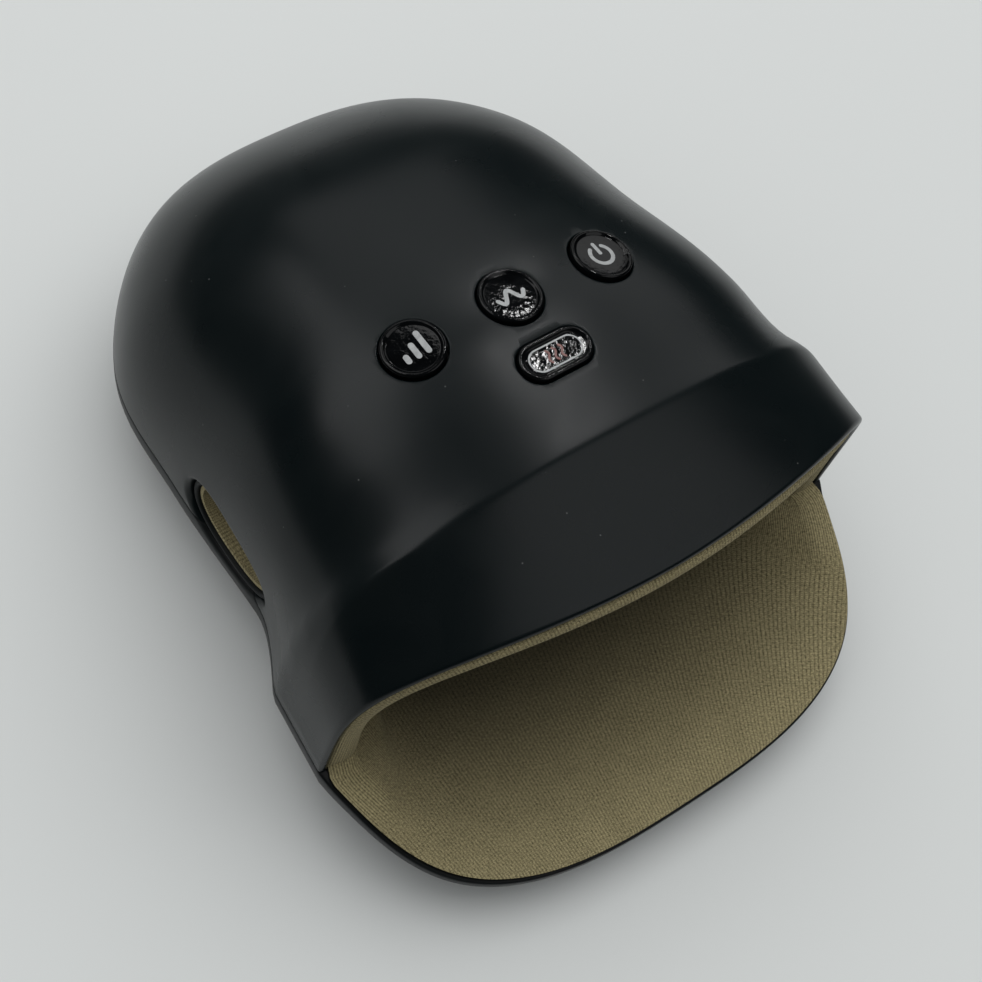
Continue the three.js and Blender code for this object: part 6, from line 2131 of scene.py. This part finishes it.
@dataclass(frozen=True)
class Lamp:
    """Square soft light that looks at the object from a compass angle and an elevation."""

    name: str
    azimuth: float
    elevation: float
    distance: float
    size: float
    radiance: float
    mirrored: bool = True
    lights_up: bool = False

    def build(self, aim: Vector) -> bpy.types.Object:
        """Builds the light, aimed at a point."""
        data = bpy.data.lights.new(self.name, "AREA")
        data.shape = "SQUARE"
        data.size = self.size
        data.energy = self.radiance * math.pi * self.size ** 2
        lamp = bpy.data.objects.new(self.name, data)
        bpy.context.scene.collection.objects.link(lamp)
        turn, rise = math.radians(self.azimuth), math.radians(self.elevation)
        away = Vector((math.cos(rise) * math.cos(turn), math.cos(rise) * math.sin(turn), math.sin(rise)))
        lamp.location = aim + away * self.distance
        lamp.rotation_euler = (-away).to_track_quat("-Z", "Y").to_euler()
        lamp.visible_glossy = self.mirrored
        lamp.visible_diffuse = self.lights_up
        return lamp


@dataclass
class Studio:
    """Plain pale table, soft lights and the camera of the photograph."""

    floor_colour: Colour = (0.63, 0.642, 0.632)
    table: float = 0.62
    ambient: float = 0.99
    dim_ambient: float = 0.012
    bright_side: tuple[float, float, float] = (0.1, 1.0, 0.0)
    lamp_aim: tuple[float, float, float] = (0.0, 0.0, 0.06)
    eye: tuple[float, float, float] = (-0.23803, -0.16394, 0.50961)
    view_angles: tuple[float, float, float] = (-57.2526, 59.5485, -24.7355)
    lens: float = 78.31
    lamps: tuple[Lamp, ...] = (
        Lamp("overhead", 50.0, 68.0, 1.4, 2.0, 0.9, mirrored=False, lights_up=True),
        Lamp("spark_far", 50.0, 43.0, 1.0, 0.04, 70.0),
        Lamp("glow_left", 116.0, 52.0, 1.0, 0.62, 2.1),
        Lamp("glow_back", 34.0, 60.0, 1.0, 0.05, 98.0),
        Lamp("glow_right", 24.0, 37.0, 1.0, 0.42, 1.25),
        Lamp("glow_far", 70.0, 34.0, 1.0, 0.5, 0.9),
        Lamp("glow_front", -50.0, 56.0, 1.0, 0.6, 1.05),
    )

    def floor(self) -> None:
        """Table top with a faint mottle."""
        half = self.table / MM
        floor = mesh_object("floor", [(-half, -half, 0), (half, -half, 0), (half, half, 0), (-half, half, 0)],
                            [(0, 1, 2, 3)])
        material = bpy.data.materials.new("pale_floor")
        material.use_nodes = True
        tree = Tree(material.node_tree)
        shader = material.node_tree.nodes["Principled BSDF"]
        place = tree.add("ShaderNodeTexCoord").outputs["Object"]
        pale = tuple(1.03 * c for c in self.floor_colour)
        mottle = tree.noise(place, 3.0, 2.0)
        tree.put(tree.mix(mottle, rgba(self.floor_colour), rgba(pale)), shader.inputs["Base Color"])
        shader.inputs["Roughness"].default_value = 0.9
        shader.inputs["Specular IOR Level"].default_value = 0.1
        floor.data.materials.append(material)

    def world(self) -> None:
        """Dim even surroundings."""
        world = bpy.data.worlds.new("room")
        world.use_nodes = True
        tree = Tree(world.node_tree)
        back = world.node_tree.nodes["Background"]
        back.inputs["Color"].default_value = (0.97, 0.99, 1.0, 1.0)
        path = tree.add("ShaderNodeLightPath")
        way = tree.add("ShaderNodeTexCoord").outputs["Generated"]
        feeds = {0: way, 1: Vector(self.bright_side).normalized()}
        side = tree.add("ShaderNodeVectorMath", feeds, operation="DOT_PRODUCT")
        rise = tree.add("ShaderNodeSeparateXYZ", {0: way})
        high = tree.ramp(rise.outputs["Z"], 0.08, 0.6, 0.05 * self.ambient, self.ambient)
        even = tree.math("MULTIPLY", high, tree.ramp(side.outputs["Value"], -0.85, -0.1, 0.08, 1.0))
        dim = tree.math("SUBTRACT", 1.0, path.outputs["Is Glossy Ray"])
        strength = tree.math("ADD", tree.math("MULTIPLY", even, dim), self.dim_ambient)
        tree.put(strength, back.inputs["Strength"])
        bpy.context.scene.world = world

    def camera(self) -> None:
        """Camera at the photograph's angle: its azimuth, its elevation and its roll."""
        a, e, roll = (math.radians(v) for v in self.view_angles)
        forward = Vector((-math.sin(a) * math.cos(e), math.cos(a) * math.cos(e), -math.sin(e)))
        flat = Vector((math.cos(a), math.sin(a), 0))
        down0 = forward.cross(flat)
        right = math.cos(roll) * flat + math.sin(roll) * down0
        down = -math.sin(roll) * flat + math.cos(roll) * down0
        data = bpy.data.cameras.new("camera")
        data.sensor_fit = "HORIZONTAL"
        data.sensor_width = 36.0
        data.lens = self.lens
        data.clip_start = 0.01
        camera = bpy.data.objects.new("camera", data)
        bpy.context.scene.collection.objects.link(camera)
        turn = Matrix((right, -down, -forward)).transposed().to_4x4()
        camera.matrix_world = Matrix.Translation(self.eye) @ turn
        bpy.context.scene.camera = camera

    def build(self) -> None:
        """Sets the stage."""
        self.floor()
        self.world()
        for lamp in self.lamps:
            lamp.build(Vector(self.lamp_aim))
        self.camera()
        bpy.context.scene.view_settings.view_transform = "Standard"


def main() -> None:
    """Builds the stage and every sub-assembly in order."""
    logging.basicConfig(level=logging.INFO, format="%(name)s: %(message)s")
    Studio().build()
    shop = Workshop(build_finishes(Effects()), build_sweep_tree(), build_scatter_tree())
    plans = button_plans()
    fasteners = Fasteners()
    side_skin = right_side_skin()
    CoverShell().build(shop, plans, side_skin)
    BaseShell().build(shop, side_skin, fasteners.foot_places())
    Sleeve().build(shop)
    ThumbTrim().build(shop)
    Controls().build(shop, plans)
    fasteners.build(shop)
    ChargeSocket().build(shop)
    AirBags().build(shop)
    HiddenWorks().build(shop)


if __name__ == "__main__":
    main()
